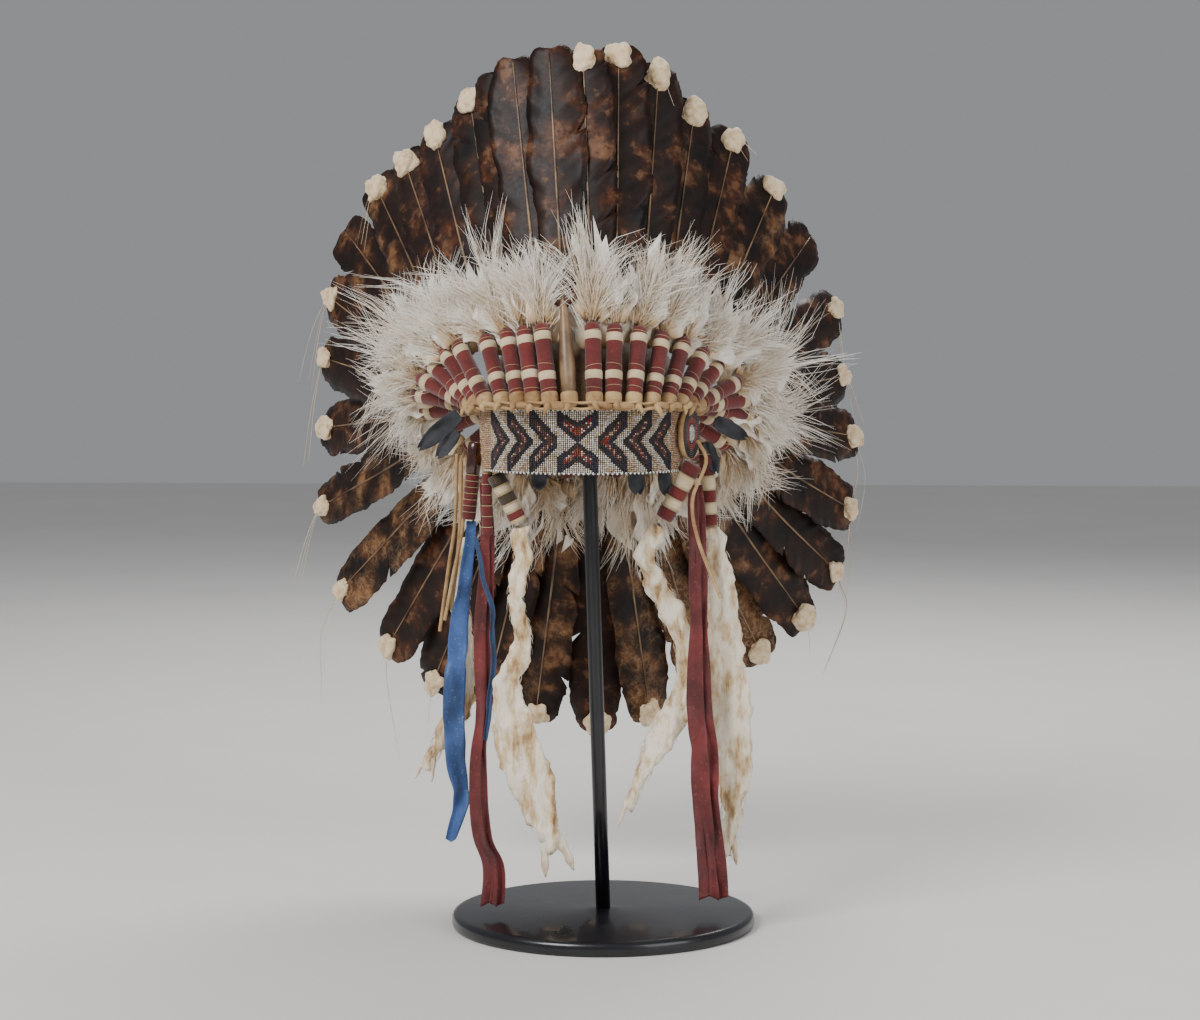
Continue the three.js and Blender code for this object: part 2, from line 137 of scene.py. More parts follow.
class Finish:
    """One material and the nodes that make its colour, gloss and relief."""

    def __init__(self, name):
        self.material = bpy.data.materials.new(name)
        self.material.use_nodes = True
        self.tree = self.material.node_tree
        self.surface = self.tree.nodes["Principled BSDF"]

    def node(self, kind, settings=None, sockets=None, output=0):
        """A node of a kind, with its settings made first and then its sockets filled or linked."""
        made = self.tree.nodes.new(kind)
        for key, value in (settings or {}).items():
            if key == "stops":
                ramp = made.color_ramp
                while len(ramp.elements) < len(value):
                    ramp.elements.new(0.5)
                for stop, (place, colour) in zip(ramp.elements, value):
                    stop.position, stop.color = place, (*colour, 1)
            else:
                setattr(made, key, value)
        for key, value in (sockets or {}).items():
            self.feed(made.inputs[key], value)
        return Shade(self, made.outputs[output])

    def feed(self, socket, value):
        if isinstance(value, Shade):
            self.tree.links.new(value.out, socket)
        elif socket.type == "RGBA" and len(value) == 3:
            socket.default_value = (*value, 1)
        else:
            socket.default_value = value

    def place(self):
        return self.node("ShaderNodeTexCoord", output=3)

    def stretched(self, x, y, z):
        """Object coordinates times a scale for each axis."""
        return self.node(
            "ShaderNodeMapping", {"vector_type": "POINT"}, {"Vector": self.place(), "Scale": (x, y, z)}
        )

    def along(self, attribute, output=2):
        """A number kept on the mesh under a name; output 0 gives its colour."""
        return self.node("ShaderNodeAttribute", {"attribute_name": attribute}, output=output)

    def flat(self, axis):
        """One axis of the piece's own UV map."""
        uv = self.node("ShaderNodeUVMap", {"uv_map": "UVMap"})
        return self.node("ShaderNodeSeparateXYZ", {}, {"Vector": uv}, output=axis)

    def cloud(self, scale, detail=3.0, rough=0.55, vector=None):
        return self.node(
            "ShaderNodeTexNoise",
            {"noise_dimensions": "3D"},
            {"Vector": vector or self.place(), "Scale": scale, "Detail": detail, "Roughness": rough},
        )

    def cells(self, scale, vector=None):
        return self.node(
            "ShaderNodeTexVoronoi", {}, {"Vector": vector or self.place(), "Scale": scale}
        )

    def mix(self, factor, first, second, blend="MIX"):
        return self.node(
            "ShaderNodeMix",
            {"data_type": "RGBA", "blend_type": blend, "clamp_factor": True},
            {0: factor, 6: first, 7: second},
            output=2,
        )

    def ramp(self, value, *stops):
        return self.node("ShaderNodeValToRGB", {"stops": stops}, {"Fac": value})

    def close(self, colour, roughness, height=None, depth=0.2, strength=1.0, **constants):
        """Links the surface: colour, roughness and a relief of some depth in millimetres."""
        self.feed(self.surface.inputs["Base Color"], colour)
        self.feed(self.surface.inputs["Roughness"], roughness)
        if height is not None:
            relief = self.node(
                "ShaderNodeBump",
                {},
                {"Height": height, "Distance": depth * MM, "Strength": strength},
            )
            self.feed(self.surface.inputs["Normal"], relief)
        for name, value in constants.items():
            self.feed(self.surface.inputs[name.replace("_", " ")], value)
        return self.material


FINISHES = {}


def finish(name):
    """The finish of a name, made the first time that a piece asks for it."""
    if name not in FINISHES:
        FINISHES[name] = MAKERS[name](Finish(name))
    return FINISHES[name]


def feather_finish(f):
    """Near-black barbs with clouded brown patches; tone turns them towards tan with pale tracery."""
    tone = f.along("tone")
    barbs = (f.flat(1) * 4200.0 + f.cloud(90.0) * 5.0).sine() * 0.5 + 0.5
    patch = f.cloud(34.0, 4.0, 0.6)
    fleck = f.cloud(300.0, 3.0, 0.7)
    dark = f.ramp(patch, (0.34, srgb(10, 4, 2)), (0.52, srgb(38, 17, 7)), (0.72, srgb(92, 48, 22)))
    speck = patch * 0.7 + f.cloud(110.0, 4.0, 0.65) * 0.5
    dark = f.mix(speck.above(0.7, 0.05) * 0.55, dark, srgb(124, 88, 60))
    net = f.cloud(88.0, 4.0, 0.6)
    light = f.ramp(patch, (0.35, srgb(56, 30, 14)), (0.52, srgb(104, 66, 36)), (0.72, srgb(158, 116, 76)))
    light = f.mix(net.near(0.5, 0.03) * 0.4, light, srgb(176, 146, 112))
    light = f.mix(f.cloud(260.0, 3.0, 0.65).above(0.6, 0.08) * 0.35, light, srgb(46, 28, 18))
    colour = f.mix((tone + (patch - 0.5) * 0.9).above(0.5, 0.22) * 0.92, dark, light)
    colour = f.mix((1.0 - barbs) * 0.4, colour, srgb(8, 4, 2))
    return f.close(colour, 0.4 + fleck * 0.22, barbs, 0.1, 0.6, Specular_IOR_Level=0.28)


def quill_finish(f):
    grain = f.cloud(500.0, 2.0)
    colour = f.ramp(f.cloud(40.0), (0.35, srgb(72, 48, 32)), (0.7, srgb(158, 128, 94)))
    return f.close(colour, 0.32 + grain * 0.15, grain, 0.03, Specular_IOR_Level=0.55)


def cloth_finish(low, high, fade):
    """Trade cloth: a fine weave over a worn, uneven colour."""

    def make(f):
        weave = f.node(
            "ShaderNodeTexWave",
            {"wave_type": "BANDS", "bands_direction": "DIAGONAL"},
            {"Vector": f.place(), "Scale": 420.0, "Distortion": 1.2, "Detail": 1.0},
            output=1,
        )
        wear = f.cloud(46.0, 4.0, 0.6)
        lint = f.cloud(900.0, 2.0, 0.7)
        colour = f.ramp(wear, (0.3, low), (0.72, high))
        colour = f.mix(lint.above(0.62, 0.06) * 0.4, colour, fade)
        colour = f.mix((1.0 - weave) * 0.3, colour, tuple(c * 0.45 for c in low))
        return f.close(
            colour, 0.78 + lint * 0.15, weave * 0.6 + lint * 0.5, 0.14, 0.8, Sheen_Weight=0.3,
            Sheen_Roughness=0.5
        )

    return make


def hide_finish(low, high):
    """Tanned skin: fine grain, creases and darker handling marks."""

    def make(f):
        marks = f.cloud(38.0, 5.0, 0.62)
        grain = f.cells(1500.0)
        creases = f.cloud(230.0, 4.0, 0.7)
        colour = f.ramp(marks, (0.32, low), (0.68, high))
        colour = f.mix(creases.above(0.6, 0.08) * 0.35, colour, tuple(c * 0.5 for c in low))
        return f.close(
            colour, 0.8 - marks * 0.2, grain * 0.35 + creases * 0.65, 0.2, 0.8, Sheen_Weight=0.12
        )

    return make


def down_finish(f):
    """Fluffy barbs, tan where they leave the quill and white further out, with a streaked middle and patches
    of painted shade.
    """
    tone = f.along("tone")
    shade_patches = f.cloud(48.0, 3.0, 0.6)
    lines = (f.flat(0) * 46.0 + f.cloud(160.0) * 7.0).sine() * 0.5 + 0.5
    colour = f.ramp(
        tone, (0.0, srgb(128, 86, 48)), (0.25, srgb(202, 168, 122)), (0.6, srgb(244, 228, 202)),
        (1.0, srgb(255, 250, 240))
    )
    # Patches mixed towards a darker tan are painted shade; the same noise also varies the roughness.
    colour = f.mix(shade_patches.above(0.56, 0.12) * 0.5, colour, srgb(206, 178, 142))
    colour = f.mix((1.0 - lines) * 0.16, colour, srgb(176, 160, 142))
    return f.close(
        colour, 0.7 + shade_patches * 0.2, lines, 0.4, 0.6, Sheen_Weight=0.4, Sheen_Roughness=0.4,
        Specular_IOR_Level=0.3,
    )


def fleece_finish(f):
    creases = f.cloud(150.0, 4.0, 0.6)
    nap = f.cloud(1100.0, 2.0, 0.6)
    # The ramp darkens the hollows of the crease noise, which the relief also sinks: painted shade in the
    # folds.
    colour = f.ramp(
        creases, (0.3, srgb(196, 160, 116)), (0.5, srgb(232, 206, 166)), (0.75, srgb(246, 228, 196)),
    )
    colour = f.mix(nap.above(0.6, 0.1) * 0.2, colour, srgb(186, 150, 108))
    return f.close(colour, 0.7 + nap * 0.15, creases * 0.8 + nap * 0.3, 0.4, 0.7, Sheen_Weight=0.3)


def bead_finish(f):
    """Opaque glass seed beads in the colour that each bead carries."""
    tint = f.along("tint", 0)
    dirt = f.cloud(420.0, 3.0)
    colour = f.mix(dirt.above(0.55, 0.12) * 0.6, tint, srgb(196, 178, 156), "MULTIPLY")
    return f.close(colour, 0.14 + dirt * 0.2, dirt, 0.03, 0.4, Specular_IOR_Level=0.6, Coat_Weight=0.3)


def fur_finish(f):
    """Winter ermine: cream hair with yellowed and tan streaks down the skin."""
    hairs = f.node(
        "ShaderNodeTexNoise", {}, {"Vector": f.stretched(1.0, 1.0, 0.12), "Scale": 900.0, "Detail": 3.0}
    )
    stain = f.node(
        "ShaderNodeTexNoise", {},
        {"Vector": f.stretched(1.0, 1.0, 0.35), "Scale": 95.0, "Detail": 4.0, "Roughness": 0.6},
    )
    colour = f.ramp(stain, (0.3, srgb(140, 98, 58)), (0.42, srgb(214, 184, 140)), (0.56, srgb(250, 238, 216)))
    colour = f.mix(hairs.above(0.62, 0.08) * 0.3, colour, srgb(176, 142, 102))
    return f.close(colour, 0.7 + hairs * 0.2, hairs, 0.45, 0.9, Sheen_Weight=0.5, Sheen_Roughness=0.35)


def satin_finish(low, high, shine):
    """Silk ribbon: fine ribs across it, soft bright folds and small highlights painted in a pale shine
    colour.
    """

    def make(f):
        ribs = (f.flat(1) * 5200.0).sine() * 0.5 + 0.5
        fade = f.cloud(28.0, 4.0, 0.6)
        rub_and_highlight = f.cloud(420.0, 3.0, 0.6)
        colour = f.ramp(fade, (0.32, low), (0.7, high))
        # Spots mixed towards the pale shine colour are painted highlights; the same noise also roughens and
        # raises the satin.
        colour = f.mix(rub_and_highlight.above(0.64, 0.05) * 0.35, colour, shine)
        colour = f.mix((1.0 - ribs) * 0.18, colour, tuple(c * 0.4 for c in low))
        return f.close(
            colour, 0.36 + rub_and_highlight * 0.25, ribs * 0.6 + rub_and_highlight * 0.6, 0.08, 0.7, Sheen_Weight=0.25, Anisotropic=0.5
        )

    return make


def amber_finish(f):
    cloud = f.cloud(120.0, 4.0, 0.6)
    colour = f.ramp(cloud, (0.3, srgb(24, 8, 4)), (0.55, srgb(62, 24, 10)), (0.8, srgb(128, 62, 26)))
    return f.close(colour, 0.14 + cloud * 0.16, cloud, 0.12, 0.6, Coat_Weight=0.5, Specular_IOR_Level=0.6)


def felt_finish(f):
    fibres = f.cloud(1300.0, 3.0, 0.7)
    wear = f.cloud(30.0, 4.0, 0.6)
    colour = f.ramp(wear, (0.3, srgb(78, 56, 36)), (0.7, srgb(122, 92, 60)))
    colour = f.mix(fibres.above(0.58, 0.06) * 0.4, colour, srgb(168, 140, 104))
    return f.close(colour, 0.9 + fibres * 0.08, fibres, 0.35, 0.9, Sheen_Weight=0.4)


def stand_finish(f):
    orange = f.cloud(700.0, 2.0)
    dust = f.cloud(24.0, 5.0, 0.65)
    colour = f.ramp(dust, (0.4, srgb(10, 11, 15)), (0.8, srgb(30, 31, 38)))
    return f.close(colour, 0.2 + dust * 0.2, orange, 0.05, 0.5, Coat_Weight=0.3)


def floor_finish(f):
    tone = f.cloud(3.0, 3.0)
    colour = f.ramp(tone, (0.2, srgb(222, 220, 216)), (0.8, srgb(230, 228, 224)))
    return f.close(colour, 0.72 + tone * 0.1)


MAKERS = {
    "feather": feather_finish,
    "quill": quill_finish,
    "wrap_red": cloth_finish(srgb(76, 15, 12), srgb(124, 36, 32), srgb(166, 80, 70)),
    "wrap_cream": cloth_finish(srgb(196, 168, 124), srgb(236, 218, 182), srgb(250, 240, 220)),
    "wrap_dark": cloth_finish(srgb(44, 34, 22), srgb(84, 66, 44), srgb(120, 100, 74)),
    "thread": cloth_finish(srgb(170, 140, 96), srgb(214, 190, 146), srgb(236, 220, 190)),
    "buckskin": hide_finish(srgb(138, 98, 54), srgb(206, 172, 122)),
    "charcoal_hide": hide_finish(srgb(30, 31, 35), srgb(58, 60, 66)),
    "down": down_finish,
    "fleece": fleece_finish,
    "beads": bead_finish,
    "ermine": fur_finish,
    "satin_red": satin_finish(srgb(74, 20, 20), srgb(132, 48, 48), srgb(178, 104, 94)),
    "satin_blue": satin_finish(srgb(36, 66, 112), srgb(76, 110, 176), srgb(146, 174, 222)),
    # A darker copy of the blue satin: painted shade for the narrow strip that hangs behind the other ribbons.
    "satin_dim": satin_finish(srgb(26, 44, 72), srgb(52, 80, 124), srgb(104, 132, 176)),
    "amber": amber_finish,
    "felt": felt_finish,
    "stand_black": stand_finish,
    "floor": floor_finish,
}


# ---------------------------------------------------------------- modelling


def settle(bm, name, finishes, replaced=(), smooth=True):
    """Turns a bmesh into a finished piece that rides on the headdress."""
    mesh = bpy.data.meshes.new(name)
    for face in bm.faces:
        face.smooth = smooth
    bm.to_mesh(mesh)
    bm.free()
    return keep(mesh, name, finishes, replaced)


def keep(mesh, name, finishes, replaced=()):
    piece = bpy.data.objects.new(name, mesh)
    bpy.context.scene.collection.objects.link(piece)
    if mesh.materials:
        mesh.materials.clear()
    for each in finishes:
        mesh.materials.append(finish(each))
    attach(piece, "root")
    if replaced:
        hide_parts(*replaced)
    return piece


def line_through(points, count):
    """A smooth line through some points, as evenly spaced points."""
    p = [Vector(q) for q in points]
    p = [p[0] * 2 - p[1], *p, p[-1] * 2 - p[-2]]
    fine = []
    for a, b, c, d in zip(p, p[1:], p[2:], p[3:]):
        for k in range(24):
            t = k / 24
            square, cube = 2 * a - 5 * b + 4 * c - d, 3 * b - a - 3 * c + d
            fine.append(0.5 * (2 * b + (c - a) * t + square * t**2 + cube * t**3))
    fine.append(p[-2])
    xyz = np.array(fine)
    gone = np.concatenate([[0], np.cumsum(np.linalg.norm(np.diff(xyz, axis=0), axis=1))])
    even = np.linspace(0, gone[-1], count)
    return [Vector(q) for q in np.stack([np.interp(even, gone, xyz[:, i]) for i in range(3)], 1)]


def spread(values, count):
    """A few values in even steps, as more values between them."""
    return list(np.interp(np.linspace(0, len(values) - 1, count), range(len(values)), values))


def tube(bm, line, radii, sides=10, depth=None, turn=None, facing=(0, -1, 0), material=0, shut=True):
    """Extrudes a ring of edges along a line. radii are half widths across; depth, if given, the other way."""
    depth = depth or radii
    side, rings = None, []
    for i, point in enumerate(line):
        ahead = (line[min(i + 1, len(line) - 1)] - line[max(i - 1, 0)]).normalized()
        if side is None:
            side = ahead.cross(Vector(facing))
            if side.length < 0.05:
                side = ahead.cross(Vector((0.3, 0.2, 1)))
        side = (side - ahead * side.dot(ahead)).normalized()
        frame_here = Matrix((side, ahead.cross(side), ahead)).transposed().to_4x4()
        if turn:
            frame_here = frame_here @ Matrix.Rotation(math.radians(turn[i]), 4, "Z")
        size = Matrix.Diagonal((max(radii[i], 1e-5), max(depth[i], 1e-5), 1, 1))
        rings.append(Matrix.Translation(point) @ frame_here @ size)
    made = bmesh.ops.create_circle(bm, cap_ends=False, radius=1, segments=sides, matrix=rings[0])
    verts = made["verts"]
    edges = first = list({e for v in verts for e in v.link_edges})
    everything = list(verts)
    for i in range(1, len(rings)):
        out = bmesh.ops.extrude_edge_only(bm, edges=edges)
        verts = [g for g in out["geom"] if isinstance(g, bmesh.types.BMVert)]
        ring = set(verts)
        edges = [
            g for g in out["geom"]
            if isinstance(g, bmesh.types.BMEdge) and g.verts[0] in ring and g.verts[1] in ring
        ]
        bmesh.ops.transform(bm, matrix=rings[i] @ rings[i - 1].inverted(), verts=verts)
        everything += verts
    if shut:
        bmesh.ops.edgeloop_fill(bm, edges=first)
        bmesh.ops.edgeloop_fill(bm, edges=edges)
    faces = list({f for v in everything for f in v.link_faces})
    for face in faces:
        face.material_index = material
    bmesh.ops.recalc_face_normals(bm, faces=faces)
    return everything


def leaf(bm, across, along, place, uv=None, material=0, tone=None):
    """A grid of faces with each corner put where place(u, t) says: u from -1 to 1 and t from 0 to 1."""
    made = bmesh.ops.create_grid(bm, x_segments=across, y_segments=along, size=1)
    layer = bm.loops.layers.uv.verify()
    toned = bm.verts.layers.float.get("tone")
    spots = {}
    for v in made["verts"]:
        spots[v] = (v.co.x, (v.co.y + 1) / 2)
    faces = list({f for v in spots for f in v.link_faces})
    for face in faces:
        face.material_index = material
        for loop in face.loops:
            u, t = spots[loop.vert]
            loop[layer].uv = uv(u, t) if uv else (u, t)
    for v, (u, t) in spots.items():
        v.co = place(u, t)
        if toned and tone is not None:
            v[toned] = tone(u, t)
    return faces


def thicken(piece, thickness, offset=0.0):
    wall = piece.modifiers.new("wall", "SOLIDIFY")
    wall.thickness, wall.offset, wall.use_even_offset = thickness, offset, False
    return piece


def smoother(piece, levels=1):
    rounder = piece.modifiers.new("rounder", "SUBSURF")
    rounder.levels = rounder.render_levels = levels
    return piece


def strands(name, lines, finish_name, replaced=()):
    """Many fine strands as one mesh: each is (points, radii, tones), and tones may be None."""
    curve = bpy.data.curves.new(name, "CURVE")
    curve.dimensions, curve.bevel_depth, curve.bevel_resolution = "3D", 1.0, 0
    tones = []
    for points, radii, tone in lines:
        spline = curve.splines.new("POLY")
        spline.points.add(len(points) - 1)
        spline.points.foreach_set("co", [c for p in points for c in (*p, 1)])
        spline.points.foreach_set("radius", radii)
        spline.use_smooth = True
        tones += tone if tone is not None else [1.0] * len(points)
    holder = bpy.data.objects.new(name + "_curve", curve)
    bpy.context.scene.collection.objects.link(holder)
    mesh = bpy.data.meshes.new_from_object(holder.evaluated_get(bpy.context.evaluated_depsgraph_get()))
    bpy.data.objects.remove(holder)
    bpy.data.curves.remove(curve)
    if len(mesh.vertices) != 4 * len(tones):
        raise RuntimeError(f"{name}: {len(mesh.vertices)} corners on {len(tones)} points")
    mesh.attributes.new("tone", "FLOAT", "POINT").data.foreach_set("value", np.repeat(tones, 4))
    return keep(mesh, name, [finish_name], replaced)


def scatter(name, template, places, finish_name, replaced=()):
    """Copies of a small shape as one mesh. Each place is (point, turn, size, colour)."""
    seed = bpy.data.meshes.new(name + "_seed")
    for face in template.faces:
        face.smooth = True
    template.to_mesh(seed)
    template.free()
    shape = bpy.data.objects.new(name + "_seed", seed)
    cloud = bpy.data.meshes.new(name + "_points")
    cloud.vertices.add(len(places))
    cloud.vertices.foreach_set("co", [c for p in places for c in p[0]])
    for key, kind, field, part in (
        ("turn", "FLOAT_VECTOR", "vector", 1), ("size", "FLOAT_VECTOR", "vector", 2),
        ("tint", "FLOAT_COLOR", "color", 3),
    ):
        values = [c for p in places for c in ((*p[part], 1) if key == "tint" else p[part])]
        cloud.attributes.new(key, kind, "POINT").data.foreach_set(field, values)
    holder = bpy.data.objects.new(name + "_points", cloud)
    for each in (shape, holder):
        bpy.context.scene.collection.objects.link(each)
    tree = bpy.data.node_groups.new(name, "GeometryNodeTree")
    tree.interface.new_socket("Geometry", in_out="INPUT", socket_type="NodeSocketGeometry")
    tree.interface.new_socket("Geometry", in_out="OUTPUT", socket_type="NodeSocketGeometry")
    start, end = tree.nodes.new("NodeGroupInput"), tree.nodes.new("NodeGroupOutput")
    put, real = tree.nodes.new("GeometryNodeInstanceOnPoints"), tree.nodes.new("GeometryNodeRealizeInstances")
    bead = tree.nodes.new("GeometryNodeObjectInfo")
    bead.inputs["Object"].default_value = shape
    tree.links.new(start.outputs[0], put.inputs["Points"])
    tree.links.new(bead.outputs["Geometry"], put.inputs["Instance"])
    for key, socket in (("turn", "Rotation"), ("size", "Scale")):
        field = tree.nodes.new("GeometryNodeInputNamedAttribute")
        field.data_type = "FLOAT_VECTOR"
        field.inputs["Name"].default_value = key
        tree.links.new(field.outputs["Attribute"], put.inputs[socket])
    tree.links.new(put.outputs[0], real.inputs[0])
    tree.links.new(real.outputs[0], end.inputs[0])
    holder.modifiers.new("copies", "NODES").node_group = tree
    mesh = bpy.data.meshes.new_from_object(holder.evaluated_get(bpy.context.evaluated_depsgraph_get()))
    for key in ("turn", "size"):
        if key in mesh.attributes:
            mesh.attributes.remove(mesh.attributes[key])
    bpy.data.objects.remove(holder)
    bpy.data.objects.remove(shape)
    bpy.data.node_groups.remove(tree)
    return keep(mesh, name, [finish_name], replaced)


def bead_shape(around=6, along=3):
    """A low seed bead, its hole along X."""
    bm = bmesh.new()
    bmesh.ops.create_uvsphere(bm, u_segments=around, v_segments=along, radius=0.5)
    bmesh.ops.rotate(bm, matrix=Matrix.Rotation(math.radians(90), 3, "Y"), verts=bm.verts)
    return bm


def turn_to(ahead, up):
    """The turn that takes X to a way ahead and Z to a way up."""
    x = Vector(ahead).normalized()
    y = Vector(up).cross(x).normalized()
    return Matrix((x, y, x.cross(y))).transposed().to_euler()


class Quill:
    """The line, the breadth and the facing of one feather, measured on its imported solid."""

    def __init__(self, node):
        self.node, self.name = node, node.removeprefix("feather_")
        mesh = NODES[node].data
        xyz = np.empty(len(mesh.vertices) * 3)
        mesh.vertices.foreach_get("co", xyz)
        xyz = xyz.reshape(-1, 3)
        middle = xyz.mean(0)
        _, _, ways = np.linalg.svd(xyz - middle, full_matrices=False)
        ahead, _, face = (Vector(w) for w in ways)
        centre = BROW + Vector((0, 0, -12 * MM))
        if (Vector(middle) - centre).dot(ahead) < 0:
            ahead = -ahead
        if face.y > 0:
            face = -face
        self.ahead, self.face = ahead, face
        self.over = ahead.cross(face)
        self.middle = Vector(middle)
        rel = xyz - middle
        s, a, d = rel @ np.array(ahead), rel @ np.array(self.over), rel @ np.array(face)
        self.start, self.end = float(s.min()), float(s.max())
        self.length = self.end - self.start
        bins = np.linspace(self.start, self.end, 9)
        mid = [(s[m].mean(), (a[m].max() + a[m].min()) / 2, (d[m].max() + d[m].min()) / 2)
               for lo, hi in zip(bins, bins[1:]) if (m := (s >= lo) & (s <= hi)).sum() > 5]
        mid = np.array(mid)
        self.sway = np.polyfit(mid[:, 0], mid[:, 1], 2)
        self.bow = np.polyfit(mid[:, 0], mid[:, 2], 2)
        self.half = float(np.abs(a - np.polyval(self.sway, s)).max())
        self.rng = random.Random(node)
        self.seed = self.rng.uniform(0, 50)
        self.flare = Vector((math.copysign(FLARE.get(self.name, 0), ahead.x) * MM, 0, 0))

    def at(self, s):
        """The point on the shaft at a distance from the lacing, in metres."""
        rise = min(1.0, 0.35 + 0.65 * max(0.0, s) / FLARE_TOP)
        fall = max(0.0, 1 - max(0.0, s - FLARE_TOP) / FLARE_FADE) ** 2
        s = self.start + s
        return (
            self.middle + self.flare * (rise * fall) + self.ahead * s
            + self.over * float(np.polyval(self.sway, s)) + self.face * float(np.polyval(self.bow, s))
        )

    def way(self, s):
        return (self.at(s + 0.002) - self.at(s - 0.002)).normalized()

    def front(self, s):
        way = self.way(s)
        return (self.face - way * self.face.dot(way)).normalized()


# How far the sleeves at the sides spring outwards, in mm; the feather comes back to its line beyond them.
FLARE = {
    "left_5": 9, "left_6": 9, "left_7": 12, "left_8": 16, "left_9": 22, "left_10": 22, "left_11": 14,
    "right_8": 8, "right_9": 16, "right_10": 22, "right_11": 22, "right_12": 18, "back_right_4": 8,
    "back_left_5": 6,
}
FLARE_TOP, FLARE_FADE = 0.06, 0.14
QUILLS = {}


def quill_of(node):
    if node not in QUILLS:
        QUILLS[node] = Quill(node)
    return QUILLS[node]


# ---------------------------------------------------------------- feathers


def make_vane(quill, sizes):
    """The feather's blade: two rows of barbs with splits, on a tapering shaft."""
    rng = quill.rng
    start, end = sizes.vane_start, quill.length - 0.006
    reach = end - start
    light = PALE.get(quill.name, quill.rng.uniform(0.02, 0.16))
    splits = {
        side: [
            (rng.uniform(0.1, 0.93), rng.uniform(0.2, 0.6), rng.uniform(0.004, 0.009))
            for _ in range(rng.randint(0, 3))
        ]
        for side in (-1, 1)
    }
    lean = rng.uniform(-0.12, 0.12)
    bm = bmesh.new()
    bm.verts.layers.float.new("tone")

    def breadth(t):
        rise = min(1.0, 0.42 + 0.58 * (t / 0.35) ** 0.8) if t < 0.35 else 1.0
        fall = math.sqrt(max(0.0, 1 - ((t - 0.6) / 0.4) ** 3)) if t > 0.6 else 1.0
        return rise * fall * quill.half * 1.1

    def edge(side, t):
        cut = sum(d * math.exp(-(((t - c) / w) ** 2)) for c, d, w in splits[side])
        rough = noise.noise((t * 9, side * 7 + quill.seed, 0)) * 0.14
        rough += noise.noise((t * 60, quill.seed, side)) * 0.05
        return max(0.12, 1.0 - cut + rough) * (1 + side * lean)

    def place(u, t):
        side = 1 if u > 0 else -1
        out = abs(u) ** 0.9 * breadth(t) * edge(side, t)
        s = min(start + t * reach + out * 0.85, end + 0.004)
        curl = noise.noise((t * 5 + quill.seed, u * 1.5, 3)) * 0.004 * abs(u)
        dip = -0.0035 * abs(u) ** 2 + curl + noise.noise((t * 26, side * 3 + quill.seed, 1)) * 0.0016 * abs(u)
        return quill.at(s) + quill.over * side * out + quill.face * (dip + 0.0006)

    def shade(u, t):
        spot = 0.5 + noise.noise((t * 7 + quill.seed, u, 5)) * 0.8
        return max(0.0, min(1.0, light * (0.55 + spot * 0.8)))

    leaf(bm, 8, 66, place, lambda u, t: (u * quill.half, t * reach + abs(u) * 0.012), 0, shade)
    stops = np.linspace(sizes.wrap_length - 0.004, end - 0.004, 14)
    line = [quill.at(s) + quill.face * 0.0012 for s in stops]
    tube(bm, line, [r * MM for r in spread([1.8, 1.1, 0.75, 0.5, 0.3], 14)], 6, material=1)
    piece = settle(bm, "vane_" + quill.name, ["feather", "quill"], [quill.node])
    return thicken(piece, 0.5 * MM)


# Feathers with paler, mottled vanes, from 0, near black, to 1, tan.
PALE = {
    "left_11": 0.42, "left_10": 0.3, "left_6": 0.34, "left_7": 0.3, "back_left_5": 0.52, "back_left_3": 0.3,
    "back_left_2": 0.3, "back_left_1": 0.38, "back_right_1": 0.5, "back_right_2": 0.62, "back_right_3": 0.75,
    "back_right_4": 0.3, "right_12": 0.25, "right_4": 0.28, "right_6": 0.36,
}


def make_wrap(quill, sizes):
    """A red cloth sleeve with two cream bands and thread turns, and the hide collar that holds it."""
    bm = bmesh.new()
    foot, length = sizes.wrap_foot, sizes.wrap_length - sizes.wrap_foot
    rng = quill.rng
    if quill.name != "centre":
        radii = [4.8, 6.0, 6.4, 6.3, 6.5, 6.4, 6.3, 6.5, 6.4, 6.1, 4.9, 2.6, 0.6]
        stops = [0.0, 0.02, 0.1, 0.2, 0.33, 0.46, 0.6, 0.72, 0.85, 0.94, 0.98, 0.995, 1.0]
        tube(bm, [quill.at(foot + length * t) for t in stops], [r * MM for r in radii], 20)
        for low, high in ((0.225, 0.345), (0.745, 0.865)):
            shift = rng.uniform(-0.02, 0.02)
            cuts = (low, low + 0.008, (low + high) / 2, high - 0.008, high)
            line = [quill.at(foot + length * (t + shift)) for t in cuts]
            tube(bm, line, [r * MM for r in (6.2, 6.85, 6.95, 6.85, 6.2)], 20, material=1)
        for t in (0.11, 0.42, 0.9):
            wind(bm, quill, foot + length * (t + rng.uniform(-0.03, 0.03)), 6.6 * MM, 0.22 * MM, 2)
    else:
        line = [quill.at(s) for s in np.linspace(0.0, sizes.vane_start + 0.012, 9)]
        tube(bm, line, [r * MM for r in (5.0, 5.8, 6.3, 6.1, 5.6, 4.9, 4.0, 3.0, 2.2)], 14, material=4)
    tube(
        bm, [quill.at(foot + s * MM) for s in (-9, -8, -4, 0, 2.5, 3.2)],
        [r * MM for r in (2.5, 5.2, 6.8, 7.0, 6.6, 5.8)], 14,
        [r * MM for r in (2.0, 4.2, 5.6, 6.2, 6.4, 5.6)], material=3,
    )
    return settle(
        bm, "wrap_" + quill.name, ["wrap_red", "wrap_cream", "thread", "buckskin", "quill"],
    )


def wind(bm, quill, s, radius, thick, material):
    """A turn of thread round a feather's sleeve."""
    way, front = quill.way(s), quill.front(s)
    over = way.cross(front)
    slope = quill.rng.uniform(-0.18, 0.18)
    line = []
    for k in range(17):
        a = math.tau * k / 16 * 1.02
        out = front * math.cos(a) + over * math.sin(a)
        line.append(quill.at(s) + out * radius + way * radius * slope * math.sin(a))
    tube(bm, line, [thick] * 17, 3, material=material, shut=False)


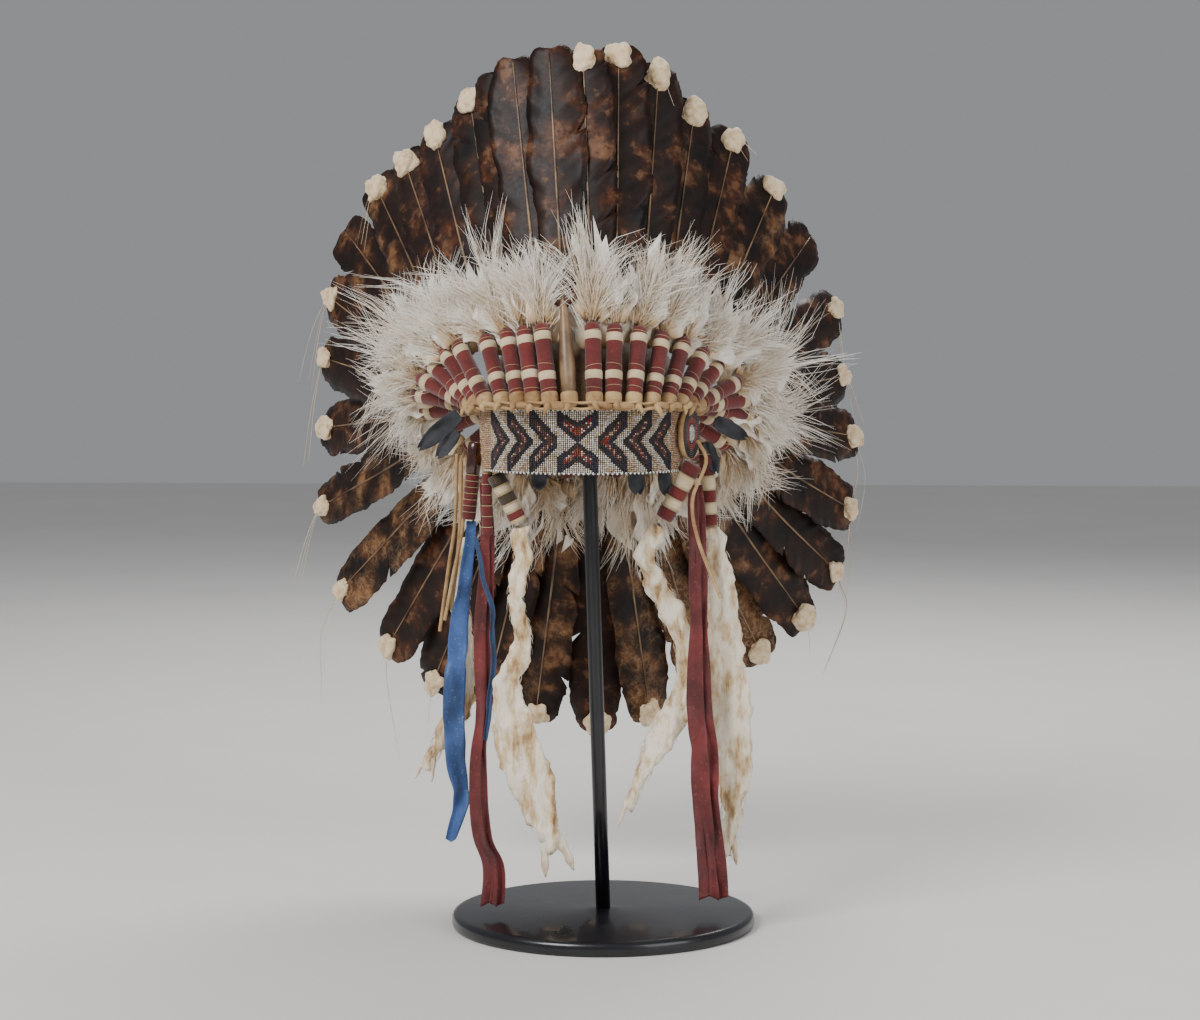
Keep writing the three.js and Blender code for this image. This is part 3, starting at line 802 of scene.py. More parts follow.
def make_tip(quill, sizes):
    """A cream wad glued over the feather's end: a soft, slightly faceted lump."""
    rng = quill.rng
    if quill.name in BARE_TIPS:
        return None
    bm = bmesh.new()
    bmesh.ops.create_icosphere(bm, subdivisions=4, radius=1)
    wide = rng.uniform(0.86, 1.16) * sizes.tuft_width / 2
    long = rng.uniform(0.84, 1.16) * sizes.tuft_length / 2
    centre = quill.length - sizes.tuft_length / 2 + 0.001
    origin, way, front = quill.at(centre), quill.way(centre), quill.front(centre)
    over = way.cross(front)
    seed = Vector((quill.seed, quill.seed * 0.7, 3.1))
    pinch = rng.uniform(-0.3, 0.35)
    for v in bm.verts:
        n = v.co.normalized()
        boxy = (abs(n.x) ** 3.2 + abs(n.y) ** 3.2 + abs(n.z) ** 3.2) ** (-1 / 3.2)
        lobes = noise.noise(n * 1.4 + seed) * 0.3 + noise.noise(n * 3.1 + seed) * 0.12
        pleat = noise.noise(Vector((n.x * 7, n.y * 2.2, n.z * 7)) + seed) * 0.06
        r = 0.5 + 0.42 * boxy + lobes + pleat
        taper = 1.0 + pinch * n.y
        v.co = origin + (over * n.x * wide * taper + way * n.y * long + front * n.z * wide * 0.68) * r
    return settle(bm, "tip_" + quill.name, ["fleece"])


BARE_TIPS = {"left_7", "right_7", "left_1", "left_2", "centre"}


# ---------------------------------------------------------------- down


def plume(lines, rng, root, ahead, face, length, breadth, hairs, pale):
    """One fluffy plume: wisps of long soft barbs along a bending shaft, and short curls at its foot."""
    ahead, face = ahead.normalized(), face.normalized()
    over = ahead.cross(face).normalized()
    bend = over * rng.uniform(-0.32, 0.32) + face * rng.uniform(-0.05, 0.25)

    def shaft(v):
        return root + (ahead * v + bend * v * v) * length

    def hair(a, m, e, stop, thick, low, high):
        phase, sway = rng.uniform(0, math.tau), rng.uniform(0.9, 3.0) * MM
        points = []
        for k in range(4):
            t = stop * k / 3
            wave = (over * math.sin(phase + t * 7) + face * math.cos(phase + t * 6)) * sway * t * 2
            points.append(a * (1 - t) ** 2 + m * 2 * t * (1 - t) + e * t * t + wave)
        tones = [max(0.0, min(1.0, pale * (low + (high - low) * k / 3))) for k in range(4)]
        lines.append((points, [thick * 0.8, thick, thick * 0.85, thick * 0.25], tones))

    count = rng.randint(5, 7)
    for w in range(count):
        side = 2 * (w + 0.5) / count - 1 + rng.uniform(-0.15, 0.15)
        v = rng.uniform(0.0, 0.4) * (1 - 0.5 * abs(side))
        reach = length * (1 - v) * rng.uniform(0.6, 1.05) * (1 - 0.28 * abs(side))
        splay = side * rng.uniform(0.3, 0.8)
        aim = (ahead * math.cos(splay) + over * math.sin(splay) + face * rng.uniform(-0.2, 0.35)).normalized()
        base = shaft(v)
        curl = over * (side + rng.uniform(-0.9, 0.9)) + face * rng.uniform(-0.3, 1.0)
        hook = curl * reach * rng.uniform(0.2, 0.46)
        belly = base + (ahead * 0.55 + aim * 0.1) * reach + over * side * breadth * 0.5
        tip = base + aim * reach * 0.84 + hook
        for _ in range(hairs):
            x, y, z = (rng.gauss(0, 1) for _ in range(3))
            a = shaft(max(0.0, v + rng.uniform(-0.14, 0.1))) + (over * x + face * y) * 0.09 * breadth
            m = belly + (over * x * 0.2 + face * y * 0.17 + ahead * z * 0.25) * breadth
            e = tip + (over * x * 0.2 + face * y * 0.15 + ahead * max(-1.5, min(1.0, z)) * 0.3) * breadth
            low = 0.16 + v * 1.8
            hair(a, m, e, rng.uniform(0.5, 1.0), rng.uniform(0.2, 0.36) * MM, low, low + 1.2)
    for _ in range(hairs // 2):
        spin, out = rng.uniform(0, math.tau), rng.uniform(0.2, 0.5) * breadth
        a = shaft(rng.uniform(0, 0.2))
        way = over * math.cos(spin) + face * abs(math.sin(spin)) * 0.8
        m = a + way * out + ahead * rng.uniform(0.2, 0.7) * breadth
        e = a + way * out * rng.uniform(0.5, 1.4) + ahead * rng.uniform(0.6, 1.3) * breadth
        hair(a, m, e, 1.0, rng.uniform(0.14, 0.22) * MM, 0.05, rng.uniform(0.3, 0.7))


def plume_core(bm, rng, root, ahead, face, length, breadth, pale):
    """The dense, softly waving middle of a plume, under its barbs."""
    ahead, face = ahead.normalized(), face.normalized()
    over = ahead.cross(face).normalized()
    seed = rng.uniform(0, 60)

    ends = [rng.uniform(0.5, 0.92) for _ in range(15)]

    def place(u, t):
        end = ends[round((u + 1) * 7)] * (1 - 0.3 * u * u)
        s = t * end
        swell = math.sin(math.pi * (0.1 + 0.8 * s)) ** 0.7
        out = u * breadth * 0.82 * swell * (1 + 0.4 * noise.noise((s * 5, u, seed)))
        lift = noise.noise((s * 5 + seed, u * 3.2, 0)) * 0.006 - abs(u) * 0.003
        drift = noise.noise((s * 3, seed, 7)) * 0.006 * s
        return root + ahead * (length * s * 0.86) + over * (out + drift) + face * (lift - 0.001)

    leaf(bm, 14, 14, place, None, 0, lambda u, t: max(0.0, min(1.0, pale * (0.1 + t * 2.0))))


# ---------------------------------------------------------------- beadwork


def arc_table():
    """The band's angle against the distance along it from its middle, both from -90 to 90 degrees."""
    angles = np.radians(np.linspace(-90, 90, 721))
    steps = np.hypot((HEAD_X / MM + 4.6) * np.cos(angles), (HEAD_Y / MM + 4.6) * np.sin(angles))
    gone = np.concatenate([[0], np.cumsum((steps[1:] + steps[:-1]) / 2 * np.diff(angles))])
    return gone - gone[360], np.degrees(angles)


ARC, ANGLE = arc_table()


def at_arc(a):
    return float(np.interp(a, ARC, ANGLE))


# The chevrons, in mm along the band: where their points are, how far an arm leans for each mm of height,
# how broad an arm is, where its outline ends and begins again, and how long an arm is.
CHEVRON_TIPS = (12.0, 35.5, 60.0)
ARM_LEAN, ARM_WIDTH, OUTLINE_END, OUTLINE_AGAIN, ARM_CUFF, ARM_LENGTH = 0.98, 16.2, 5.6, 11.0, 23.0, 27.5
CROSS_REACH = 16.2
BAND_MIDDLE, BEADED_TOP, BEADED_HEIGHT, EDGE_STEP = -26, 24.4, 49.6, 1.9
GLASS = {
    "white": srgb(242, 236, 228), "cream": srgb(222, 200, 164), "tan": srgb(196, 160, 120),
    "blush": srgb(206, 160, 140), "navy": srgb(20, 24, 56), "ink": srgb(16, 13, 20), "rose": srgb(96, 54, 56),
    "pink": srgb(208, 146, 134), "red": srgb(176, 30, 22), "green": srgb(28, 66, 60),
    "slate": srgb(130, 144, 164), "brick": srgb(140, 46, 40),
}


def bead_colour(a, h, side_rng):
    """The colour of the bead at a mm from the band's middle and h mm over its middle line."""
    far, up = abs(a), abs(h)
    pick = side_rng.random()
    if far <= CROSS_REACH:
        low, high = 0.8 * far - 0.4, 15.4 + 0.66 * far
        if low <= up <= high:
            if up < low + 4.6 or up > high - 4.2 or far > 11.6:
                return "navy" if far > 10 or pick < 0.5 else "ink"
            if far < 2.4 and low + 4 < up < high - 3.5:
                return "red"
            return "pink" if pick < 0.34 else "white" if pick < 0.55 else "rose" if pick < 0.85 else "red"
        return "white" if pick < 0.82 or up > 22 else "cream"
    for place, tip in enumerate(CHEVRON_TIPS):
        over = far - tip - up * ARM_LEAN
        if 0 <= over <= ARM_WIDTH and far <= tip + ARM_LENGTH:
            cuff = far > tip + ARM_CUFF
            if over < OUTLINE_END or over > OUTLINE_AGAIN or cuff:
                if place == 0 or cuff:
                    return "navy" if pick < 0.75 else "ink"
                return "ink" if pick < 0.6 else "navy"
            if place == 0 and up < 3 and a > 0:
                return "red"
            if place == 2:
                return "rose" if pick < 0.86 else "pink"
            return "rose" if pick < 0.58 else "pink" if pick < 0.78 else "brick" if pick < 0.88 else "cream"
    near_point = any(0 < tip + up * ARM_LEAN - far < 7 for tip in CHEVRON_TIPS)
    if near_point or far < 24:
        return "white" if pick < 0.7 else "cream"
    if far > 88:
        return "tan" if pick < 0.5 else "blush" if pick < 0.75 else "cream"
    column = noise.noise((a * 0.5, 0, 1)) > 0.05
    if column:
        return "cream" if pick < 0.6 else "tan"
    return "white" if pick < 0.3 else "cream" if pick < 0.75 else "blush"


def band_ends(height):
    """How far the beading goes to each side at a height over the band's middle: the ends slant in."""
    low = (25 - height) / 50
    curve = max(0.0, low - 0.72) ** 2 * 60
    return -125.5 + 17 * low + curve, 124 - 15 * low - curve


def make_band(sizes):
    rng = random.Random(7)
    places = []
    pitch, rise = sizes.bead_pitch / MM, sizes.bead_rise / MM
    for row in range(int(BEADED_HEIGHT / rise)):
        h = BEADED_TOP - (row + 0.5) * rise
        left, right = band_ends(h)
        for column in range(int(left / pitch), int(right / pitch) + 1):
            a = column * pitch
            sag = noise.noise((a * 0.06, row * 0.05, 4)) * 0.5
            spot, out = round_head(
                at_arc(a), 5.05 + rng.uniform(-0.12, 0.12), BAND_MIDDLE + h + sag + rng.uniform(-0.1, 0.1),
            )
            tint = GLASS[bead_colour(a, h, rng)]
            shade = rng.uniform(0.72, 1.08)
            turn = turn_to((0, 0, 1), out)
            size = (rise * 0.92 * MM, pitch * rng.uniform(0.78, 0.9) * MM, 1.3 * MM)
            places.append((spot, (turn.x, turn.y, turn.z), size, tuple(min(1.0, c * shade) for c in tint)))
    scatter("band_beads", bead_shape(), places, "beads")

    places = []
    for height, first in ((24.9, 0), (-25.2, 1)):
        left, right = band_ends(height)
        for k in range(int((right - left) / EDGE_STEP)):
            a = left + k * EDGE_STEP
            spot, out = round_head(at_arc(a), 5.2, BAND_MIDDLE + height + rng.uniform(-0.2, 0.2))
            bright = k % 2 == first
            turn = turn_to(out.cross(Vector((0, 0, 1))), out)
            size = (1.9 * MM, 1.9 * MM, 1.9 * MM) if bright else (1.5 * MM, 1.6 * MM, 1.5 * MM)
            tint = GLASS["white" if bright else rng.choice(("green", "navy", "green", "ink"))]
            places.append((spot, (turn.x, turn.y, turn.z), size, tint))
    scatter("band_edging", bead_shape(8, 5), places, "beads")


RING_STEP = 1.6


def make_rosette():
    """A hide disc at the right temple, sewn with rings of beads."""
    centre, out = round_head(70, 9, -22)
    lift = out * 2.6 * MM
    side = Vector((0, 0, 1)).cross(out).normalized()
    bm = bmesh.new()
    rim = [centre + out * d * MM for d in (-2.2, -2.0, 0.6, 2.0, 2.2)]
    tube(bm, rim, [r * MM for r in (17, 20.2, 20.6, 19.6, 18.5)], 48)
    settle(bm, "rosette_hide", ["buckskin"], ["rosette"])
    rng, places = random.Random(11), []
    rings = (
        "white", "white", "slate", "white", "slate", "ink", "brick", "brick", "brick", "ink", "navy", "navy",
        "ink",
    )
    for ring, name in enumerate(rings):
        radius = ring * RING_STEP
        count = max(1, int(math.tau * radius / 1.65))
        for k in range(count):
            a = math.tau * k / count
            way = side * math.cos(a) + Vector((0, 0, 1)) * math.sin(a)
            along = way.cross(out)
            turn = turn_to(along, out)
            tint = GLASS["white" if name == "slate" and rng.random() < 0.4 else name]
            shade = rng.uniform(0.75, 1.05)
            spot, size = centre + lift + way * radius * MM, (1.6 * MM, 1.5 * MM, 1.4 * MM)
            places.append((spot, (turn.x, turn.y, turn.z), size, tuple(c * shade for c in tint)))
    scatter("rosette_beads", bead_shape(), places, "beads")


# ---------------------------------------------------------------- cap and hide


def make_cap():
    """A plain felt crown with four seams, over the stand's rest."""
    bm = bmesh.new()
    low = -50 * MM
    profile = [(1.0, low)] + [(1.0, low * (1 - k / 4)) for k in (1, 2, 3)]
    rise = CAP_HIGH.z - BROW.z
    profile += [(math.cos(a), rise * math.sin(a)) for a in np.radians(np.linspace(0, 90, 15))]
    verts = [bm.verts.new((r * HEAD_X, 0, z)) for r, z in profile[:-1]] + [bm.verts.new((0, 0, rise))]
    edges = [bm.edges.new(pair) for pair in zip(verts, verts[1:])]
    bmesh.ops.spin(
        bm, geom=verts + edges, cent=(0, 0, 0), axis=(0, 0, 1), angle=math.tau, steps=72, use_merge=True
    )
    bmesh.ops.remove_doubles(bm, verts=bm.verts, dist=1e-5)
    bmesh.ops.recalc_face_normals(bm, faces=bm.faces)
    for v in bm.verts:
        ripple = noise.noise(v.co * 28) * 0.8 * MM
        v.co = Vector((v.co.x, v.co.y * HEAD_Y / HEAD_X, v.co.z)) * (1 + ripple) + BROW
    piece = settle(bm, "cap_felt", ["felt"], ["cap"])
    thicken(piece, 2 * MM, -1)

    bm = bmesh.new()
    for turn in (45, 135, 225, 315):
        a = math.radians(turn)
        line = []
        for t in np.radians(np.linspace(-2, 88, 16)):
            x, y = HEAD_X * math.cos(t) * math.sin(a), -HEAD_Y * math.cos(t) * math.cos(a)
            line.append(BROW + Vector((x, y, rise * math.sin(t))))
        tube(bm, line, [1.1 * MM] * 16, 6, [0.7 * MM] * 16)
    settle(bm, "cap_seams", ["felt"])


def make_tabs():
    """Dark hide tabs at the temples and under the band."""
    shapes = {
        "tab_left": ((-103, 0, -8), (-139, 12, -38), 15, "tab_left"),
        "tab_left_low": ((-104, -6, -22), (-122, -4, -44), 12, None),
        "tab_right": ((106, 0, -13), (133, 10, -28), 13, "tab_right"),
        "tab_right_low": ((100, -18, -30), (108, -16, -56), 11, None),
        "tab_brow_left": ((-32, -70, -50), (-33, -66, -66), 13, None),
        "tab_brow_right": ((44, -66, -50), (46, -62, -70), 14, None),
        "tab_brow_far": ((66, -48, -52), (68, -44, -72), 11, None),
    }
    for name, (start, end, width, node) in shapes.items():
        start, end = brow(*start), brow(*end)
        way = (end - start).normalized()
        face = Vector((0.15 if start.x > BROW.x else -0.15, -1, 0.1))
        face = (face - way * face.dot(way)).normalized()
        over = way.cross(face)
        seed = len(name) * 3.7

        def place(u, t):
            half = width * MM / 2 * min(1.0, 0.75 + t) * (1 - max(0.0, t - 0.55) ** 2 * 4.2)
            fork = 0.12 * (end - start).length * (1 - abs(u)) * max(0.0, t - 0.8) * 5
            curl = noise.noise((t * 2.5 + seed, u, 0)) * 3.5 * MM + (abs(u) ** 2) * 1.2 * MM
            return start + (end - start) * t - way * fork + over * u * half + face * curl

        bm = bmesh.new()
        leaf(bm, 8, 16, place)
        piece = settle(bm, name + "_hide", ["charcoal_hide"], [node] if node else [])
        thicken(piece, 1.5 * MM)
        smoother(piece)


def make_lacing(quills):
    """Buckskin lacing that runs from feather to feather round the head, with knots over the band."""
    around = sorted(quills, key=lambda q: math.atan2(q.at(0).x - BROW.x, -(q.at(0).y - BROW.y)))
    bm = bmesh.new()
    for lift in (-0.010, -0.005):
        loop = []
        for here, there in zip(around, around[1:] + around[:1]):
            a, b = here.at(lift), there.at(lift)
            loop += [a + here.front(lift) * 6.6 * MM, (a + b) / 2 + (here.front(lift) * 2.6 * MM)]
        loop = line_through(loop + loop[:1], 240)
        tube(bm, loop, [1.25 * MM] * 240, 6, shut=False)
    settle(bm, "lacing", ["buckskin"])

    rng = random.Random(23)
    bm = bmesh.new()
    for here, there in zip(around, around[1:]):
        a, b = here.at(-0.0085), there.at(-0.0085)
        if a.y > BROW.y - 10 * MM or b.y > BROW.y - 10 * MM:
            continue
        out = (here.front(0) + there.front(0)).normalized()
        for _ in range(rng.choice((0, 1, 1, 2))):
            drop = rng.uniform(-3, 2.5) * MM
            points = [
                a + out * 5.5 * MM, a * 0.7 + b * 0.3 + out * rng.uniform(8, 10) * MM + Vector((0, 0, drop)),
                a * 0.3 + b * 0.7 + out * rng.uniform(8, 10) * MM + Vector((0, 0, -drop * 0.6)),
                b + out * 5.5 * MM,
            ]
            radii = [rng.uniform(1.4, 2.4) * MM, rng.uniform(1.8, 2.8) * MM, 1.4 * MM]
            tube(
                bm, line_through(points, 12), spread(radii, 12), 8,
                spread([1.1 * MM, 1.5 * MM, 1.1 * MM], 12),
            )
        knot = a + out * 8.4 * MM + Vector((0, 0, rng.uniform(-1, 2) * MM))
        tail = knot + Vector((rng.uniform(-5, 5), -1.5, -rng.uniform(4, 9))) * MM
        tube(
            bm, line_through([knot, (knot + tail) / 2 + out * 1.2 * MM, tail], 6),
            [r * MM for r in (2.4, 2.6, 2.2, 1.8, 1.4, 0.9)], 8,
        )
    settle(bm, "lacing_knots", ["buckskin"])


# ---------------------------------------------------------------- drops

def even(low, high, count, colour):
    """Bands of one colour in even steps along a rod."""
    step = (high - low) / count
    return [(low + step * k, low + step * (k + 1), colour) for k in range(count)]


# Each rod's top and bottom and its radius in mm, its tie, and its bands from 0, the top, to 1.
RODS = {
    "rod_left_amber": (
        (-88, -20, -30), (-94, -20, -93), 5.6, "thread",
        [(0.0, 0.42, "amber"), *even(0.42, 0.9, 6, "wrap_red"), (0.9, 1.0, "wrap_red")],
    ),
    "rod_left_stick": (
        (-77, -39, -42), (-77, -39, -104), 4.2, "thread",
        [(0.0, 0.2, "buckskin"), *even(0.2, 0.9, 5, "wrap_red"), (0.9, 1.0, "wrap_red")],
    ),
    "rod_left_banded": (
        (-70, -44, -55), (-51, -42, -93), 7.0, "thread",
        [
            (0.0, 0.22, "wrap_dark"), (0.22, 0.4, "wrap_cream"), (0.4, 0.6, "wrap_dark"),
            (0.6, 0.78, "wrap_cream"), (0.78, 0.93, "wrap_red"), (0.93, 1.0, "thread"),
        ],
    ),
    "rod_right_banded": (
        (90, -46, -46), (66, -44, -90), 7.4, "thread",
        [
            (0.0, 0.2, "wrap_red"), (0.2, 0.43, "wrap_cream"), (0.43, 0.62, "wrap_red"),
            (0.62, 0.8, "wrap_cream"), (0.8, 1.0, "wrap_red"),
        ],
    ),
    "rod_right_outer": (
        (99, -12, -30), (103, -12, -98), 6.0, "thread",
        [
            (0.0, 0.14, "amber"), (0.14, 0.4, "wrap_red"), (0.4, 0.57, "wrap_cream"),
            (0.57, 0.72, "wrap_red"), (0.72, 0.86, "wrap_cream"), (0.86, 1.0, "wrap_red"),
        ],
    ),
}


def make_rods():
    """Hanging rods wrapped in bands of cloth, one amber at its top, tied with thread."""
    for name, (top, bottom, radius, tie, bands) in RODS.items():
        a, b = brow(*top), brow(*bottom)
        bm, used = bmesh.new(), []
        for low, high, colour in bands:
            if colour not in used:
                used.append(colour)
            lean = noise.noise((low * 9, radius, 0)) * 0.5
            line = [a.lerp(b, low + (high - low) * t) for t in (0.0, 0.06, 0.3, 0.7, 0.94, 1.0)]
            swell = radius + lean
            radii = [(swell + more) * MM for more in (-1.2, -0.1, 0.25, 0.15, -0.2, -1.2)]
            tube(bm, line, radii, 22, material=used.index(colour))
        if tie not in used:
            used.append(tie)
        way = (b - a).normalized()
        side = way.cross(Vector((0, 1, 0))).normalized()
        face = side.cross(way)
        cuts = [low for low, _, _ in bands[1:]]
        for cut in cuts:
            line = []
            for k in range(21):
                t = math.tau * k / 20 * 1.02
                line.append(a.lerp(b, cut) + (face * math.cos(t) + side * math.sin(t)) * (radius + 0.3) * MM)
            tube(
                bm, line, [(0.3 if name == "rod_left_amber" else 0.36) * MM] * 21, 5,
                material=used.index(tie), shut=False,
            )
        settle(bm, name + "_wrapped", used, [name] if name in NODES else [])


# Each row: x, y and z of the strip's middle and its width, in mm, and its turn in degrees.
SKINS = {
    "ermine_left_front": [
        (-50, -42, -98, 12, 0), (-49, -42, -124, 15, 20), (-54, -41, -157, 12, -25), (-48, -40, -190, 17, 10),
        (-61, -40, -230, 22, -15), (-53, -40, -271, 34, 10), (-39, -40, -315, 38, 0), (-26, -40, -352, 27, 0),
        (-22, -40, -362, 10, 0),
    ],
    "ermine_left_back": [
        (-97, -2, -110, 9, 0), (-102, -2, -162, 13, 15), (-101, -2, -215, 18, -10), (-106, -2, -255, 22, 10),
        (-121, -2, -280, 16, 0), (-131, -2, -302, 6, 0),
    ],
    "ermine_right_inner": [
        (63, -44, -96, 13, 0), (51, -34, -124, 18, 15), (66, -16, -158, 20, -15), (84, -12, -200, 20, 10),
        (84, -12, -236, 24, 0), (60, -14, -276, 26, -10), (42, -15, -318, 14, 0), (36, -15, -332, 5, 0),
    ],
    "ermine_right_outer": [
        (103, -8, -99, 13, 0), (110, -2, -130, 22, 15), (114, 2, -185, 28, -10), (119, 2, -240, 34, 10),
        (123, 2, -300, 32, 0), (121, 2, -340, 20, -10), (117, 2, -372, 8, 0),
    ],
}
RIBBONS = {
    "ribbon_left_red": ("satin_red", [
        (-79, -34, -62, 10, 0), (-77, -34, -109, 12, 10), (-80, -34, -174, 15, -15), (-81, -34, -240, 16, 10),
        (-85, -34, -300, 14, -20), (-82, -34, -350, 15, 10), (-74, -34, -375, 17, 0), (-74, -34, -408, 21, 0),
    ]),
    "ribbon_left_blue": ("satin_blue", [
        (-92, -20, -94.5, 8, 0), (-98, -20, -150, 11, 15), (-104, -20, -200, 16, -10),
        (-107, -20, -245, 18, 10), (-105, -20, -291, 18, -10), (-100, -20, -326, 15, 20),
        (-110, -20, -358, 9, 0),
    ]),
    # The narrow strip behind takes the darker copy of the blue satin, painted shade.
    "ribbon_left_narrow": ("satin_dim", [
        (-86, -39, -106, 3.2, 0), (-82, -40, -130, 4, 10), (-75, -40, -158, 4.6, -15),
        (-72, -40, -198, 4.6, 10), (-75, -40, -240, 4.6, -10), (-79, -39, -272, 3.6, 0),
    ]),
    "ribbon_right_red": ("satin_red", [
        (91, -26, -64, 12, 0), (93, -26, -110, 15, 10), (94, -27, -170, 16, -15), (95, -27, -240, 22, 10),
        (99, -27, -300, 24, -10), (103, -27, -350, 24, 10), (107, -27, -402, 26, 0),
    ]),
}


def hanging(rows, count):
    """The middle line, half widths in metres and turns of a strip given as rows in millimetres."""
    line = line_through([brow(*row[:3]) for row in rows], count)
    halves = [w * MM / 2 for w in spread([r[3] for r in rows], count)]
    return line, halves, spread([r[4] for r in rows], count)


def run_of(line):
    return sum((b - a).length for a, b in zip(line, line[1:]))


def make_skins():
    """Hanging ermine skins: crinkled tubes of soft hide that end in long pointed feet."""
    for name, rows in SKINS.items():
        rng = random.Random(name)
        count = 96
        line, halves, turns = hanging(rows, count)
        seed = rng.uniform(0, 40)
        bm = bmesh.new()
        thick = [min(4.4 * MM, 1.8 * MM + h * 0.26) for h in halves]
        tube(bm, line, halves, 30, thick, turns)
        bm.normal_update()
        for v in bm.verts:
            x, y, z = v.co
            folds = noise.noise((x * 190 + seed, y * 150, z * 26)) * 3.4
            folds += noise.noise((x * 430, y * 300 + seed, z * 110)) * 1.5
            edge = noise.noise((z * 70, seed, 0)) * 3.6 + noise.noise((z * 210, seed, 4)) * 1.6
            v.co += v.normal * folds * MM + Vector((edge * MM, 0, 0))
        for dx, dz, wide in FEET[name]:
            root = line[-6] + Vector((dx * 0.18, 0, 0)) * MM
            tip = line[-1] + Vector((dx, rng.uniform(-2, 2), dz)) * MM
            points = line_through([root, root.lerp(tip, 0.45) + Vector((dx * 0.16, 0, 1)) * MM, tip], 12)
            broad = [r * MM for r in spread([wide, wide * 0.9, wide * 0.5, wide * 0.6, 0.5], 12)]
            tube(bm, points, broad, 10, [r * MM for r in spread([2.6, 2.4, 1.8, 1.6, 0.4], 12)])
        skin = settle(bm, name + "_skin", ["ermine"], [name])
        hairs = []
        for _ in range(260):
            k = rng.randrange(1, count - 1)
            way = (line[k + 1] - line[k - 1]).normalized()
            side = way.cross(Vector((0, -1, 0))).normalized()
            a = rng.choice((0, math.pi)) + rng.gauss(0, 0.5)
            out = side * math.cos(a) * halves[k] + Vector((0, -1, 0)) * math.sin(a) * thick[k]
            base = line[k].lerp(line[k + 1], rng.random()) + out * 0.9
            aim = (
                out.normalized() * rng.uniform(0.1, 0.5) + way + Vector((rng.uniform(-0.2, 0.2),) * 3)
            ).normalized()
            reach = rng.uniform(3, 7) * MM
            hairs.append(([base, base + aim * reach * 0.5, base + (aim + way * 0.5) * reach * 0.85],
                          [0.22 * MM, 0.16 * MM, 0.04 * MM], None))
        fur = strands(name + "_fur", hairs, "ermine")
        length = run_of(line)
        broad = max(max(halves) * 2, 0.012)
        share = sum(halves) * 2 / count / broad
        max(0.32, min(1.0, share)) * broad * length


# Each skin's feet: how far each reaches sideways and down from the skin's end, and its half width, in mm.
FEET = {
    "ermine_left_front": [(15, -16, 6.5), (-8, -22, 6.0)],
    "ermine_left_back": [(-10, -8, 3.0), (4, -10, 3.0)],
    "ermine_right_inner": [(-8, -14, 3.6)],
    "ermine_right_outer": [(-5, -20, 5.5), (8, -8, 4.0)],
}


def make_ribbons():
    """Satin ribbons that hang in loose pairs, twisting a little, with cut ends."""
    for name, (colour, rows) in RIBBONS.items():
        rng = random.Random(name)
        line, halves, turns = hanging(rows, 80)
        total = run_of(line)
        bm = bmesh.new()
        pair = colour == "satin_red"
        layers = [(-0.3, -1.2, 0.64), (0.34, 1.0, 0.6)] if pair else [(0.0, 0.0, 1.0)]
        for aside, back, wide in layers:
            seed = rng.uniform(0, 30)

            def place(u, t):
                k = min(int(t * 79), 78)
                f = t * 79 - k
                at = line[k].lerp(line[k + 1], f)
                half = halves[k] * (1 - f) + halves[k + 1] * f
                turn = math.radians(turns[k]) + 0.55 * noise.noise((t * 6, seed, 0))
                turn += 0.5 * noise.noise((t * 15, seed, 3))
                ridge = math.cos(u * 3 + noise.noise((t * 5, seed + 5, 1)) * 3) * 1.1 * MM * (0.4 + t)
                drift = noise.noise((t * 7, seed, 9)) * 2.2 * MM
                notch = max(0.0, t - 0.985) * 66 * (abs(u) * 3 - 1.5) * MM * (1.0 if aside >= 0 else -1.0)
                x = half * (aside + wide * u * math.cos(turn)) + drift
                y = half * wide * u * math.sin(turn) + ridge + back * MM
                return at + Vector((x, y, notch))

            leaf(bm, 10, 160, place, lambda u, t: (u * 0.01, t * total))
        piece = settle(bm, name + "_satin", [colour],
                       [name] if name in NODES else [])
        thicken(piece, 0.4 * MM)
        broad = max(halves) * 2
        mean = sum(halves) * 2 / len(halves)
        share = sum(wide for _, _, wide in layers)
        max(broad * share, 0.01)
        mean * share * total * 0.98


THONGS = {
    "thong_left": ([(-104, -12, -40), (-106, -10, -95), (-111, -10, -130), (-119, -10, -186)], 0.148),
    "thong_left_second": ([(-100, -17, -46), (-101, -17, -92), (-104, -16, -128), (-109, -15, -168)], 0.123),
    "thong_left_third": ([(-97, -18, -60), (-99, -19, -100), (-107, -19, -140), (-114, -18, -176)], 0.119),
    "thong_right": (
        [(93, -49, -27), (100, -48, -44), (89, -47, -75), (94, -46, -108), (112, -44, -154)], 0.136,
    ),
}


def make_thongs():
    for name, (points, length) in THONGS.items():
        line = line_through([brow(*p) for p in points], 28)
        curve = bpy.data.curves.new(name + "_cord", "CURVE")
        curve.dimensions, curve.use_fill_caps = "3D", True
        curve.bevel_depth, curve.bevel_resolution = 1.5 * MM, 2
        spline = curve.splines.new("POLY")
        spline.points.add(len(line) - 1)
        spline.points.foreach_set("co", [c for p in line for c in (*p, 1)])
        spline.use_smooth = True
        piece = bpy.data.objects.new(name + "_cord", curve)
        bpy.context.scene.collection.objects.link(piece)
        curve.materials.append(finish("buckskin"))
        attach(piece, "root")
        if name in NODES:
            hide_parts(name)


# ---------------------------------------------------------------- stand


